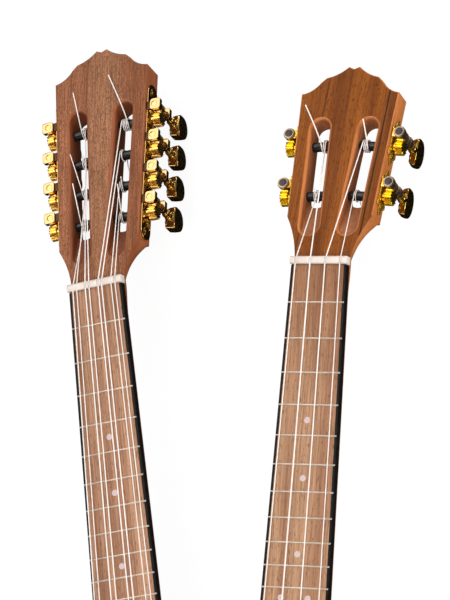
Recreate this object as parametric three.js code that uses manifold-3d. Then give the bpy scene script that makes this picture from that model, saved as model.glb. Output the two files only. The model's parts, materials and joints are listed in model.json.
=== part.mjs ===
// Double-neck tenor ukulele: an eight-string neck and a four-string neck on one hollow wooden body.
// Frame: +Z out of the soundboard, +Y from the body towards the heads, origin on the flat back.
import * as THREE from 'three';
import { mergeVertices } from 'three/addons/utils/BufferGeometryUtils.js';
import Module from 'manifold-3d';

const wasm = await Module();
wasm.setup();

// Strings and frets
const scaleLength = 432;
const fretCount = 18;
const bodyJointFret = 14;
const actionAtNut = 1.3;
const actionAtSaddle = 5.7;

// How the two necks spread
const nutSpacing = 155;
const saddleSpacing = 70.7;
const neckSplay = Math.asin((nutSpacing - saddleSpacing) / (2 * scaleLength));

// Body, seen from the front
const bodyLength = 298;
const bodyDepth = 78;
const lowerBoutWidth = 300;
const waistWidth = 236;
const upperBoutWidth = 260;
const shoulderWidth = 132;
const valleyDepth = 7;
const plateThickness = 2.2;
const sideThickness = 2.2;
const liningThickness = 5;
const liningHeight = 12;
const soundholeRadius = 30;

// Glue lines and the play of loose pieces
const seat = 0.3;
const overrun = 3;

// Fretboard and nut
const boardThickness = 5;
const boardWidthAtNut = 37.6;
const boardWidthAtOctave = 45.6;
const boardOverhang = 6.5;
const fretWidth = 2.2;
const fretCrownWidth = 1.1;
const fretHeight = 1;
const nutLength = 5;
const nutWidth = 38.2;
const nutProud = 2.3;
const nutRound = 1.2;
const nutBreak = 2.5;
const nutSlotSlope = 0.42;
const stringSlotWidth = 1.6;
const stringSlotPlay = 0.35;

// Neck and heel
const neckDepthAtNut = 14;
const neckDepthAtHeel = 16.5;
const heelDepth = 66;
const heelCapWidth = 22;
const heelLength = 44;
const neckRootLength = 11;
const headRootLength = 24;
const rootDepthAtHead = 15;

// Heads
const headDrop = 5;
const postRadius = 3.1;
const postPlay = 0.35;
const postTipRadius = 2;
const postTipDepth = 3.2;
const slotHalfWidth = 6.3;
const slotInset = 15.7;
const rampDrop = 1;
const rampSlope = 0.38;

// Worm and gear of every tuning machine
const gearTeeth = 14;
const gearPitchRadius = 4.85;
const wormPitchRadius = 2.85;
const toothAddendum = 0.65;
const toothDedendum = 0.8;
const toothBacklash = 0.3;
const flankAngle = THREE.MathUtils.degToRad(20);
const gearWidth = 5;
const wormTurns = 2.5;
const journalPlay = 0.35;
const collarRadius = 2.9;
const bearingWebWidth = 6.4;
const bearingChamfer = 1.2;
const tunerPlateThickness = 1.3;
const bearingProud = 0.5;

// String windings on the posts
const windingGap = 0.45;
const windingClearance = 0.35;
const tailLift = THREE.MathUtils.degToRad(35);
const droopLift = THREE.MathUtils.degToRad(165);
const tipPostInset = 19;

// Bridges and saddles
const bridgeWidth = 65;
const bridgeLength = 25;
const bridgeBase = 3.4;
const bridgeHeight = 7.6;
const bridgeCornerRadius = 5;
const bridgeBlockWidth = 56;
const tieBlockLength = 8;
const saddleShelfLength = 8.5;
const saddleThickness = 2.4;
const saddleWidth = 54;
const saddleSink = 3;
const knotRadius = 1.3;
const knotLength = 2.2;

// Braces and blocks inside the body
const braceWidth = 7;
const braceHeight = 8;
const backStripWidth = 16;
const backStripHeight = 2.4;
const neckBlockWidth = 178;
const neckBlockLength = 27;
const tailBlockWidth = 70;
const tailBlockLength = 15;

// Faceting
const outlineSteps = 6;
const roundSteps = 20;
const stringSides = 5;
const windingSteps = 8;
const wormSteps = 8;
const slotSteps = 6;
const shaftSides = 8;
const postSides = 10;
const buttonSides = 12;
const neckSides = 10;

// The two necks: head outline, tuning machines and strings
const headShapes = {
  eight_string: {
    side: -1,
    tilt: THREE.MathUtils.degToRad(14),
    thickness: 17.5,
    lowerCorner: [28.5, 27.5],
    ear: [34, 155],
    bump: [17.8, 166.6],
    peak: [3.7, 174],
    notchDrop: 1.6,
    slotTop: 129.5,
    slotBottom: 37,
    rampEnd: 15.7,
    postDepth: 8.6,
    postHeights: [116.3, 93.3, 70.3, 47.3],
    stringInsets: [tipPostInset, 18.8, 18, 16.8],
    gearReach: 6.4,
    bearingLength: 3.2,
    bearingHalfHeight: 4,
    rearBearingDepth: 15.7,
    collarLength: 1.4,
    plateFront: 1.2,
    plateWidth: 14.6,
    plateAbove: 26.2,
    plateBelow: 18.8,
    plateLobeWidth: 13.4,
    plateNotch: 0,
    buttonDepth: 37.9,
    buttonLength: 17.2,
    buttonWidth: 12.6,
    buttonThickness: 7.8,
    buttonBevel: 1.1,
  },
  four_string: {
    side: 1,
    tilt: THREE.MathUtils.degToRad(13),
    thickness: 15,
    lowerCorner: [29, 29],
    ear: [33.5, 115.6],
    bump: [17.8, 127],
    peak: [3.7, 134.6],
    notchDrop: 1.6,
    slotTop: 96.5,
    slotBottom: 38,
    rampEnd: 15.7,
    postDepth: 7.9,
    postHeights: [80.4, 45.4],
    stringInsets: [tipPostInset, 17.3],
    gearReach: 5.7,
    bearingLength: 3.2,
    bearingHalfHeight: 3.9,
    rearBearingDepth: 15,
    collarLength: 3.4,
    plateFront: 1.6,
    plateWidth: 12.4,
    plateAbove: 18.5,
    plateBelow: 12.5,
    plateLobeWidth: 12.4,
    plateNotch: 3.2,
    buttonDepth: 34.5,
    buttonLength: 19.5,
    buttonWidth: 13,
    buttonThickness: 5.4,
    buttonBevel: 1.1,
  },
};

// One entry per string: place at the nut and at the saddle, diameter, side of the head, post counted
// from the tip, extra turns, how its tail leaves the post, and the tail itself
const strings = {
  eight_string: [
    { nut: -15, saddle: -24.4, diameter: 0.72, side: -1, post: 3, turns: 1, lift: tailLift, tail: [-1.6, 28.3, 9.5] },
    { nut: -12.3, saddle: -20, diameter: 0.62, side: -1, post: 2, turns: 1, lift: tailLift, tail: [-4.3, 27.8, 9.5] },
    { nut: -6.1, saddle: -9.7, diameter: 0.8, side: -1, post: 1, turns: 1, lift: tailLift, tail: [1, 6, 2] },
    { nut: -3.4, saddle: -5.3, diameter: 0.72, side: -1, post: 0, turns: 1, lift: tailLift, tail: [-1.8, 28.4, 9.5] },
    { nut: 3, saddle: 5.3, diameter: 0.8, side: 1, post: 0, turns: 3, lift: tailLift, tail: [-12.8, 36, 8.4] },
    { nut: 5.6, saddle: 9.7, diameter: 0.8, side: 1, post: 1, turns: 1, lift: droopLift, tail: [4.5, -14, 3] },
    { nut: 12.2, saddle: 20, diameter: 0.62, side: 1, post: 2, turns: 1, lift: tailLift, tail: [-0.6, 7, 2] },
    { nut: 15, saddle: 24.4, diameter: 0.62, side: 1, post: 3, turns: 1, lift: tailLift, tail: [-1.2, 21.7, 7.5] },
  ],
  four_string: [
    { nut: -15.3, saddle: -21.6, diameter: 0.72, side: -1, post: 1, turns: 1, lift: tailLift, tail: [0.5, 6, 2] },
    { nut: -5.3, saddle: -7.2, diameter: 0.92, side: -1, post: 0, turns: 1, lift: tailLift, tail: [-11.1, 27.2, 8.7] },
    { nut: 4.8, saddle: 7.2, diameter: 0.82, side: 1, post: 0, turns: 2, lift: tailLift, tail: [-3.9, 16.2, 7.7] },
    { nut: 14.8, saddle: 21.6, diameter: 0.62, side: 1, post: 1, turns: 1, lift: droopLift, tail: [0.8, -3.2, -0.6] },
  ],
};

// Shares of the body outline: how far each curve's handles reach towards their neighbours
const lowerBoutLineShare = -0.21;
const waistLineShare = 0.13;
const upperBoutLineShare = 0.33;
const tailHandleShare = 0.47;
const boutHandleShare = 0.62;
const shoulderHandleShare = 0.6;

// Shares of the heel's curve: how far along, how deep and how square each section is
const heelShares = [
  [0, 0, 0],
  [0.3, 0.035, 0.05],
  [0.55, 0.14, 0.2],
  [0.75, 0.38, 0.5],
  [0.9, 0.75, 0.85],
  [1, 1, 1],
];

// Shares of the head's outline: its small steps, and the handle of its root
const stepShare = 0.22;
const rootHandleShare = 0.55;

// Shares of the head's root: how far up its curve, and how round each section is
const rootShares = [
  [0, 1],
  [0.35, 0.8],
  [0.7, 0.5],
  [1, 0.15],
];

// Share that flattens the front of a button: 1 would be an oval
const buttonFrontShare = 0.35;

// Sizes that follow from the ones above
const fretDistance = (n) => scaleLength * (1 - 2 ** (-n / 12));
const shoulderLine = bodyLength / 2;
const tailLine = -bodyLength / 2;
const nutLine = shoulderLine + fretDistance(bodyJointFret) * Math.cos(neckSplay);
const boardTop = bodyDepth + seat + boardThickness;
const boardLength = fretDistance(fretCount) + boardOverhang;
const toothPitch = (2 * Math.PI * gearPitchRadius) / gearTeeth;
const centreDistance = gearPitchRadius + wormPitchRadius;
const halfTooth = toothPitch / 4 - toothBacklash / 4;
const journalRadius = wormPitchRadius - toothDedendum;
const windingRadius = (diameter) => postRadius + windingClearance + diameter / 2;

// Materials
const finish = (color, roughness, metalness = 0) => new THREE.MeshStandardMaterial({ color, roughness, metalness });
const walnut = finish(0x8a5433, 0.55);
const mahogany = finish(0x8f4f30, 0.55);
const darkWalnut = finish(0xa67c62, 0.6);
const blackwood = finish(0x3a2418, 0.6);
const spruce = finish(0xd9b98a, 0.7);
const ivory = finish(0xf2e9d6, 0.4);
const nylon = finish(0xf3ece6, 0.35);
const gold = finish(0xd7a62b, 0.25, 1);
const blackPost = finish(0x1c1a1c, 0.35, 0.4);

const instrument = new THREE.Group();

// A mirrored geometry with its faces turned outwards again
function reversed(geometry) {
  const index = geometry.index ?? null;
  if (!index) return reversed(mergeVertices(geometry));
  for (let corner = 0; corner < index.count; corner += 3) {
    const second = index.getX(corner + 1);
    index.setX(corner + 1, index.getX(corner + 2));
    index.setX(corner + 2, second);
  }
  return geometry;
}

// Solids: closing a geometry for joining and cutting, and opening it again for a mesh
function solidOf(geometry) {
  const bare = geometry.clone();
  bare.deleteAttribute('normal');
  bare.deleteAttribute('uv');
  const merged = mergeVertices(bare);
  return new wasm.Manifold(new wasm.Mesh({
    numProp: 3,
    vertProperties: new Float32Array(merged.attributes.position.array),
    triVerts: new Uint32Array(merged.index.array),
  }));
}

function geometryOf(solid) {
  const mesh = solid.getMesh();
  const geometry = new THREE.BufferGeometry();
  geometry.setAttribute('position', new THREE.BufferAttribute(new Float32Array(mesh.vertProperties), 3));
  geometry.setIndex(new THREE.BufferAttribute(new Uint32Array(mesh.triVerts), 1));
  geometry.computeVertexNormals();
  return geometry;
}

function join(...geometries) {
  return geometryOf(geometries.map(solidOf).reduce((sum, solid) => sum.add(solid)));
}

function cut(geometry, ...tools) {
  return geometryOf(tools.map(solidOf).reduce((rest, solid) => rest.subtract(solid), solidOf(geometry)));
}

function common(geometry, other) {
  return geometryOf(solidOf(geometry).intersect(solidOf(other)));
}

function place(parent, name, geometry, material) {
  const mesh = new THREE.Mesh(geometry, material);
  mesh.name = name;
  parent.add(mesh);
  return mesh;
}

// Shapes
function polygon(points) {
  return new THREE.Shape(points.map(([x, y]) => new THREE.Vector2(x, y)));
}

function prism(shape, low, high, curveSegments = 6) {
  const geometry = new THREE.ExtrudeGeometry(shape, { depth: high - low, bevelEnabled: false, curveSegments });
  return geometry.translate(0, 0, low);
}

// A box between two corners
function block(low, high) {
  const size = high.map((value, axis) => value - low[axis]);
  const middle = high.map((value, axis) => (value + low[axis]) / 2);
  return new THREE.BoxGeometry(...size).translate(...middle);
}

// A round bar turned from [radius, height] steps, standing along Z, its ends closed on the axis
function turned(steps, sides) {
  const profile = [[0, steps[0][1]], ...steps, [0, steps.at(-1)[1]]];
  const points = profile.map(([radius, height]) => new THREE.Vector2(radius, height));
  return new THREE.LatheGeometry(points, sides).rotateX(Math.PI / 2);
}

// The same bar lying along X
function turnedAlongX(steps, sides) {
  return turned(steps, sides).rotateY(Math.PI / 2);
}

// A closed skin over rings that all have the same number of points, with a fan over each end
function loft(rings) {
  const sides = rings[0].length;
  const middles = [rings[0], rings.at(-1)].map((ring) => ring
    .reduce((sum, point) => sum.add(point), new THREE.Vector3()).divideScalar(sides));
  const points = [...rings.flat(), ...middles];
  const faces = [];
  const last = (rings.length - 1) * sides;
  const startMiddle = rings.length * sides;
  for (let side = 0; side < sides; side += 1) {
    const next = (side + 1) % sides;
    faces.push(startMiddle, next, side);
    faces.push(startMiddle + 1, last + side, last + next);
    for (let ring = 0; ring < rings.length - 1; ring += 1) {
      const here = ring * sides;
      const there = here + sides;
      faces.push(here + side, here + next, there + next);
      faces.push(here + side, there + next, there + side);
    }
  }
  const geometry = new THREE.BufferGeometry().setFromPoints(points);
  geometry.setIndex(faces);
  geometry.computeVertexNormals();
  return geometry;
}

// A tube whose radius may change from point to point, carried along its path without twisting
function tube(points, radii, sides) {
  const tangents = points.map((point, index) => {
    const before = points[Math.max(index - 1, 0)];
    const after = points[Math.min(index + 1, points.length - 1)];
    return after.clone().sub(before).normalize();
  });
  let normal = new THREE.Vector3(0, 0, 1).cross(tangents[0]).normalize();
  const rings = points.map((point, index) => {
    const tangent = tangents[index];
    normal = normal.clone().addScaledVector(tangent, -normal.dot(tangent)).normalize();
    const across = tangent.clone().cross(normal);
    return Array.from({ length: sides }, (_, side) => {
      const angle = (2 * Math.PI * side) / sides;
      return point.clone()
        .addScaledVector(normal, radii[index] * Math.cos(angle))
        .addScaledVector(across, radii[index] * Math.sin(angle));
    });
  });
  return loft(rings);
}

// Body outline: one half drawn as four curves, mirrored for the other half
function bodyOutline(inset) {
  const tail = new THREE.Vector2(0, tailLine);
  const bout = new THREE.Vector2(lowerBoutWidth / 2, lowerBoutLineShare * bodyLength);
  const waist = new THREE.Vector2(waistWidth / 2, waistLineShare * bodyLength);
  const upper = new THREE.Vector2(upperBoutWidth / 2, upperBoutLineShare * bodyLength);
  const shoulder = new THREE.Vector2(shoulderWidth / 2, shoulderLine);
  const valley = new THREE.Vector2(0, shoulderLine - valleyDepth);
  const along = (from, to, share) => from + (to - from) * share;
  const curves = [
    [tail, new THREE.Vector2(tailHandleShare * bout.x, tail.y),
      new THREE.Vector2(bout.x, along(bout.y, tail.y, boutHandleShare)), bout],
    [bout, new THREE.Vector2(bout.x, along(bout.y, waist.y, boutHandleShare / 2)),
      new THREE.Vector2(waist.x, along(waist.y, bout.y, boutHandleShare / 2)), waist],
    [waist, new THREE.Vector2(waist.x, along(waist.y, upper.y, boutHandleShare / 2)),
      new THREE.Vector2(upper.x, along(upper.y, waist.y, boutHandleShare / 2)), upper],
    [upper, new THREE.Vector2(upper.x, along(upper.y, shoulder.y, boutHandleShare)),
      new THREE.Vector2(along(shoulder.x, upper.x, shoulderHandleShare), shoulder.y), shoulder],
    [shoulder, new THREE.Vector2(along(shoulder.x, 0, shoulderHandleShare), shoulder.y),
      new THREE.Vector2(along(shoulder.x, 0, shoulderHandleShare), valley.y), valley],
  ].map((points) => new THREE.CubicBezierCurve(...points));
  const half = curves.flatMap((curve, index) => curve.getPoints(outlineSteps).slice(index ? 1 : 0));
  const mirrored = half.slice(1, -1).reverse().map((point) => new THREE.Vector2(-point.x, point.y));
  const outline = [...half, ...mirrored];
  return outline.map((point, index) => {
    const before = outline[(index + outline.length - 1) % outline.length];
    const after = outline[(index + 1) % outline.length];
    const direction = after.clone().sub(before).normalize();
    return new THREE.Vector2(point.x - direction.y * inset, point.y + direction.x * inset);
  });
}

function bodyPrism(inset, low, high) {
  return prism(new THREE.Shape(bodyOutline(inset)), low, high);
}

// Neck frame: X across, Y up the neck with 0 at the front of the nut, Z = 0 on the fretboard's top
function neckFrame(side) {
  const group = new THREE.Group();
  group.position.set((side * nutSpacing) / 2, nutLine, boardTop);
  group.rotation.z = -side * neckSplay;
  group.updateMatrixWorld(true);
  return group;
}

// Head frame: Y up the head's face from the back of the nut, Z out of the face
function headMatrix(head) {
  return new THREE.Matrix4().makeTranslation(0, nutLength, -headDrop)
    .multiply(new THREE.Matrix4().makeRotationX(-head.tilt));
}

function headTaper(head) {
  return Math.atan2(head.ear[0] - head.lowerCorner[0], head.ear[1] - head.lowerCorner[1]);
}

// Tuner frame: X straight out of the head's side face, Z out of the head's face, origin on the
// front edge of the side face at the height of one post
function tunerMatrix(head, side, height) {
  const taper = headTaper(head);
  const reach = head.lowerCorner[0] + (height - head.lowerCorner[1]) * Math.tan(taper);
  const out = new THREE.Vector3(side * Math.cos(taper), -Math.sin(taper), 0);
  const front = new THREE.Vector3(0, 0, 1);
  return new THREE.Matrix4()
    .makeBasis(out, front.clone().cross(out), front)
    .setPosition(side * reach, height, 0);
}

function boardHalfWidth(distance) {
  const growth = (boardWidthAtOctave - boardWidthAtNut) / fretDistance(12);
  return (boardWidthAtNut + growth * distance) / 2;
}

// Body
const innerWall = sideThickness + seat;
const frontInside = bodyDepth - plateThickness;
const wholeInside = bodyPrism(innerWall, plateThickness, frontInside);

function soundholeCentre(side) {
  const distance = boardLength + soundholeRadius + overrun;
  const frame = neckFrame(side);
  return new THREE.Vector3(0, -distance, 0).applyMatrix4(frame.matrixWorld);
}

function makeSoundboard() {
  const shape = new THREE.Shape(bodyOutline(0));
  for (const side of [-1, 1]) {
    const centre = soundholeCentre(side);
    const points = Array.from({ length: roundSteps }, (_, step) => {
      const angle = (2 * Math.PI * step) / roundSteps;
      return new THREE.Vector2(
        centre.x + soundholeRadius * Math.cos(angle),
        centre.y - soundholeRadius * Math.sin(angle),
      );
    });
    shape.holes.push(new THREE.Path(points));
  }
  return prism(shape, frontInside, bodyDepth);
}

function makeSides() {
  const shell = bodyPrism(0, plateThickness, frontInside);
  const throughTheLinings = bodyPrism(sideThickness + liningThickness, 0, bodyDepth);
  const betweenTheLinings = bodyPrism(sideThickness, plateThickness + liningHeight, frontInside - liningHeight);
  return cut(shell, throughTheLinings, betweenTheLinings);
}

// Blocks and braces stop a glue line short of the linings
const insideTheLinings = bodyPrism(sideThickness + liningThickness + seat, plateThickness, frontInside);

function makeNeckBlock() {
  const half = neckBlockWidth / 2;
  const raw = block(
    [-half, neckBlockLine, plateThickness],
    [half, shoulderLine, frontInside],
  );
  return common(raw, insideTheLinings);
}

function makeTailBlock() {
  const half = tailBlockWidth / 2;
  const bottom = tailLine + sideThickness + liningThickness + seat;
  const raw = block(
    [-half, tailLine, plateThickness],
    [half, bottom + tailBlockLength, frontInside],
  );
  return common(raw, insideTheLinings);
}

// A straight bar of brace wood between two points on the plate, its underside tapered to the ends
function braceBar(from, to, width, base, height) {
  const start = new THREE.Vector2(...from);
  const end = new THREE.Vector2(...to);
  const run = start.distanceTo(end);
  const angle = Math.atan2(end.y - start.y, end.x - start.x);
  const bar = block([0, -width / 2, Math.min(base, base + height)], [run, width / 2, Math.max(base, base + height)]);
  return bar.rotateZ(angle).translate(start.x, start.y, 0);
}

const neckBlockLine = shoulderLine - sideThickness - liningThickness - seat - neckBlockLength;
const upperBraceLine = (neckBlockLine + soundholeCentre(1).y + soundholeRadius) / 2;
const lowerBraceLine = soundholeCentre(1).y - soundholeRadius - braceWidth - overrun;
const bridgeLine = nutLine - scaleLength * Math.cos(neckSplay);
const bridgeReach = nutSpacing / 2 - scaleLength * Math.sin(neckSplay);

function makeTopBraces() {
  const wide = lowerBoutWidth / 2;
  const tailEnd = tailLine + sideThickness + liningThickness + seat + tailBlockLength + seat;
  const depth = -braceHeight;
  const bars = [
    braceBar([-wide, upperBraceLine], [wide, upperBraceLine], braceWidth, frontInside, depth),
    braceBar([-wide, lowerBraceLine], [wide, lowerBraceLine], braceWidth, frontInside, depth),
    braceBar([0, upperBraceLine], [0, tailEnd], braceWidth, frontInside, depth),
  ];
  for (const side of [-1, 1]) {
    bars.push(braceBar(
      [side * bridgeReach, lowerBraceLine],
      [side * bridgeReach * 2, (tailLine + bridgeLine) / 2],
      braceWidth / 2,
      frontInside,
      depth / 2,
    ));
    bars.push(braceBar(
      [side * bridgeReach, lowerBraceLine],
      [side * bridgeReach * 0.8, (tailLine * 3 + bridgeLine) / 4],
      braceWidth / 2,
      frontInside,
      depth / 2,
    ));
  }
  return common(join(...bars), insideTheLinings);
}

function makeBackBraces() {
  const wide = lowerBoutWidth / 2;
  const tailEnd = tailLine + sideThickness + liningThickness + seat + tailBlockLength + seat;
  const blockEnd = neckBlockLine - seat;
  const bars = [braceBar([0, tailEnd], [0, blockEnd], backStripWidth, plateThickness, backStripHeight)];
  for (const line of [lowerBoutLineShare * bodyLength, waistLineShare * bodyLength, upperBraceLine - neckBlockLength]) {
    bars.push(braceBar([-wide, line], [wide, line], braceWidth, plateThickness, braceHeight));
  }
  return common(join(...bars), insideTheLinings);
}

// Neck with its head and heel, carved from one piece of wood
const neckTop = -boardThickness - seat;

function neckSection(y, halfWidth, depth, heel, top = neckTop) {
  return Array.from({ length: neckSides + 1 }, (_, step) => {
    const angle = (Math.PI * step) / neckSides;
    const round = halfWidth * Math.cos(angle);
    const deep = Math.sin(angle);
    const square = Math.sign(Math.cos(angle).toFixed(3)) * (halfWidth + (heelCapWidth / 2 - halfWidth) * deep);
    return new THREE.Vector3(round * (1 - heel) + square * heel, y, top - depth * deep);
  });
}

// The side of a head between the nut and its lower corner
function rootCurve(head) {
  const [cornerX, cornerY] = head.lowerCorner;
  const neckHalf = boardHalfWidth(0);
  return new THREE.QuadraticBezierCurve(
    new THREE.Vector2(neckHalf, 0),
    new THREE.Vector2(neckHalf + (cornerX - neckHalf) * stepShare, cornerY * rootHandleShare),
    new THREE.Vector2(cornerX, cornerY),
  );
}

// A section of the head's root in the head's frame, from half round to nearly square
function rootSection(halfWidth, y, depth, roundness) {
  return Array.from({ length: neckSides + 1 }, (_, step) => {
    const angle = (Math.PI * step) / neckSides;
    const across = Math.cos(angle);
    const wide = Math.sign(across.toFixed(3)) * Math.abs(across) ** roundness;
    return new THREE.Vector3(halfWidth * wide, y, -depth * Math.sin(angle) ** roundness);
  });
}

function neckShaft(head) {
  const joint = fretDistance(bodyJointFret);
  const sectionAt = (distance, depth, heel) => neckSection(-distance, boardHalfWidth(distance), depth, heel);
  const heelRings = heelShares.map(([reachShare, dropShare, squareShare]) => sectionAt(
    joint - heelLength * (1 - reachShare),
    neckDepthAtHeel + (heelDepth - neckDepthAtHeel) * dropShare,
    squareShare,
  ));
  const curve = rootCurve(head);
  const matrix = headMatrix(head);
  const rootRings = rootShares.map(([share, roundness]) => {
    const side = curve.getPoint(share);
    const depth = rootDepthAtHead + (head.thickness - rootDepthAtHead) * share;
    const lift = share < 1 ? 0 : seat;
    return rootSection(side.x, side.y + lift, depth, roundness).map((point) => point.applyMatrix4(matrix));
  });
  return loft([
    sectionAt(joint + neckRootLength, heelDepth, 1),
    ...heelRings.reverse(),
    sectionAt(headRootLength, neckDepthAtNut, 0),
    sectionAt(0, (neckDepthAtNut + rootDepthAtHead) / 2, 0),
    ...rootRings,
  ]);
}

function headOutline(head) {
  const [cornerX, cornerY] = head.lowerCorner;
  const [earX, earY] = head.ear;
  const [bumpX, bumpY] = head.bump;
  const [peakX, peakY] = head.peak;
  const half = new THREE.Path();
  half.moveTo(cornerX, cornerY);
  half.lineTo(earX, earY);
  const stepX = bumpX + (earX - bumpX) * stepShare;
  const stepY = bumpY + (earY - bumpY) * stepShare * 1.3;
  half.quadraticCurveTo(stepX + (earX - stepX) * 0.4, earY + (stepY - earY) * 0.12, stepX, stepY);
  half.lineTo(bumpX, bumpY);
  half.quadraticCurveTo(peakX + (bumpX - peakX) * 0.45, bumpY + (peakY - bumpY) * 0.2, peakX, peakY);
  const right = half.getPoints(5);
  const left = right.slice().reverse().map((point) => new THREE.Vector2(-point.x, point.y));
  return [...right, new THREE.Vector2(0, peakY - head.notchDrop), ...left];
}

// A slot's plan: a straight run with half-round ends, inset from the head's side
function slotPlan(low, high) {
  const arc = (middle, start) => Array.from({ length: slotSteps + 1 }, (_, step) => {
    const angle = start + (Math.PI * step) / slotSteps;
    return new THREE.Vector2(
      -slotInset + slotHalfWidth * Math.cos(angle),
      middle + slotHalfWidth * Math.sin(angle),
    );
  });
  return new THREE.Shape([...arc(high - slotHalfWidth, 0), ...arc(low + slotHalfWidth, Math.PI)]);
}

// A string slot, cut square through the head, with a ramp that rises to the face towards the nut
function slotCutters(head, side) {
  const rampRun = head.slotBottom - head.rampEnd;
  const slotLength = head.slotTop - head.slotBottom;
  const through = prism(slotPlan(0, slotLength), -head.thickness - overrun, overrun);
  const floorAt = (y) => -rampDrop - (y + rampRun) * rampSlope;
  const near = -rampRun - overrun;
  const far = slotHalfWidth * 2;
  const wedge = prism(polygon([
    [near, floorAt(near)],
    [far, floorAt(far)],
    [far, overrun * 2],
    [near, overrun * 2],
  ]), -slotInset - slotHalfWidth * 2, -slotInset + slotHalfWidth * 2)
    .rotateX(Math.PI / 2).rotateZ(Math.PI / 2);
  const ramp = common(prism(slotPlan(-rampRun, far), -head.thickness, overrun), wedge);
  const frame = tunerMatrix(head, side, head.slotBottom);
  const turnedRound = side > 0 ? frame : frame.multiply(new THREE.Matrix4().makeScale(1, -1, 1));
  return [through, ramp].map((geometry) => {
    const placed = geometry.applyMatrix4(turnedRound);
    return side > 0 ? placed : reversed(placed);
  });
}

// Bores for one post: through the cheek, and blind into the web between the slots
function postBores(head, side, height) {
  const wallInside = -(slotInset + slotHalfWidth);
  const bores = [
    turnedAlongX([[postRadius + postPlay, wallInside + overrun], [postRadius + postPlay, overrun]], postSides),
    turnedAlongX([
      [postTipRadius + postPlay, wallInside - postTipDepth - postPlay],
      [postTipRadius + postPlay, wallInside + overrun * 2],
    ], shaftSides),
  ];
  return bores.map((bore) => bore
    .translate(0, 0, -head.postDepth)
    .applyMatrix4(tunerMatrix(head, side, height)));
}

function makeNeck(head) {
  const plate = prism(new THREE.Shape(headOutline(head)), -head.thickness, 0);
  const cutters = [-1, 1].flatMap((side) => [
    ...slotCutters(head, side),
    ...head.postHeights.flatMap((height) => postBores(head, side, height)),
  ]);
  const matrix = headMatrix(head);
  const blank = join(plate.applyMatrix4(matrix), neckShaft(head));
  const roomForNut = block(
    [-nutWidth, -overrun, neckTop - seat],
    [nutWidth, nutLength + seat, overrun * 2],
  );
  const whole = cut(blank, roomForNut, ...cutters.map((cutter) => cutter.applyMatrix4(matrix)));
  const frame = neckFrame(head.side);
  const body = bodyPrism(-seat, -overrun, bodyDepth + seat / 2)
    .applyMatrix4(frame.matrixWorld.clone().invert());
  return cut(whole, body);
}

// Fretboard with its frets
function makeFretboard() {
  const board = prism(polygon([
    [-boardHalfWidth(boardLength), -boardLength],
    [boardHalfWidth(boardLength), -boardLength],
    [boardHalfWidth(0), -seat],
    [-boardHalfWidth(0), -seat],
  ]), -boardThickness, 0);
  const frets = Array.from({ length: fretCount }, (_, index) => {
    const distance = fretDistance(index + 1);
    const half = boardHalfWidth(distance) - seat;
    const section = polygon([
      [-fretWidth / 2, -seat],
      [fretWidth / 2, -seat],
      [fretCrownWidth / 2, fretHeight],
      [-fretCrownWidth / 2, fretHeight],
    ]);
    return prism(section, -half, half)
      .rotateX(Math.PI / 2).rotateZ(Math.PI / 2)
      .translate(0, -distance, 0);
  });
  return join(board, ...frets);
}

// A slot for one string, cut across a nut or a tie block
function stringSlot(x, floor, low, high) {
  return block([x - stringSlotWidth / 2, low, floor], [x + stringSlotWidth / 2, high, floor + bridgeHeight * 2]);
}

function makeNut(head, name) {
  const profile = polygon([
    [0, -boardThickness],
    [nutLength, -boardThickness],
    [nutLength, nutProud - nutRound],
    [nutLength - nutRound, nutProud],
    [nutRound / 2, nutProud],
    [0, nutProud - nutRound / 2],
  ]);
  const bar = prism(profile, -nutWidth / 2, nutWidth / 2)
    .rotateX(Math.PI / 2).rotateZ(Math.PI / 2);
  const floor = actionAtNut - stringSlotPlay;
  const slope = nutSlotSlope * (nutLength + overrun - nutBreak);
  const slots = strings[name].map((string) => prism(polygon([
    [-overrun, floor],
    [nutBreak, floor],
    [nutLength + overrun, floor - slope],
    [nutLength + overrun, nutProud * 2],
    [-overrun, nutProud * 2],
  ]), string.nut - stringSlotWidth / 2, string.nut + stringSlotWidth / 2)
    .rotateX(Math.PI / 2).rotateZ(Math.PI / 2));
  return cut(bar, ...slots);
}

// Bridge, saddle and the strings' knots, in the neck's frame
const bridgeBottom = -boardThickness;
const saddleTop = actionAtSaddle - stringSlotPlay;
const shelfBack = -scaleLength - saddleShelfLength / 2;
const tieBlockBack = shelfBack - (bridgeLength - saddleShelfLength - tieBlockLength) / 2 - tieBlockLength;
const tieHeight = bridgeBottom + bridgeHeight * 0.62;

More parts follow.
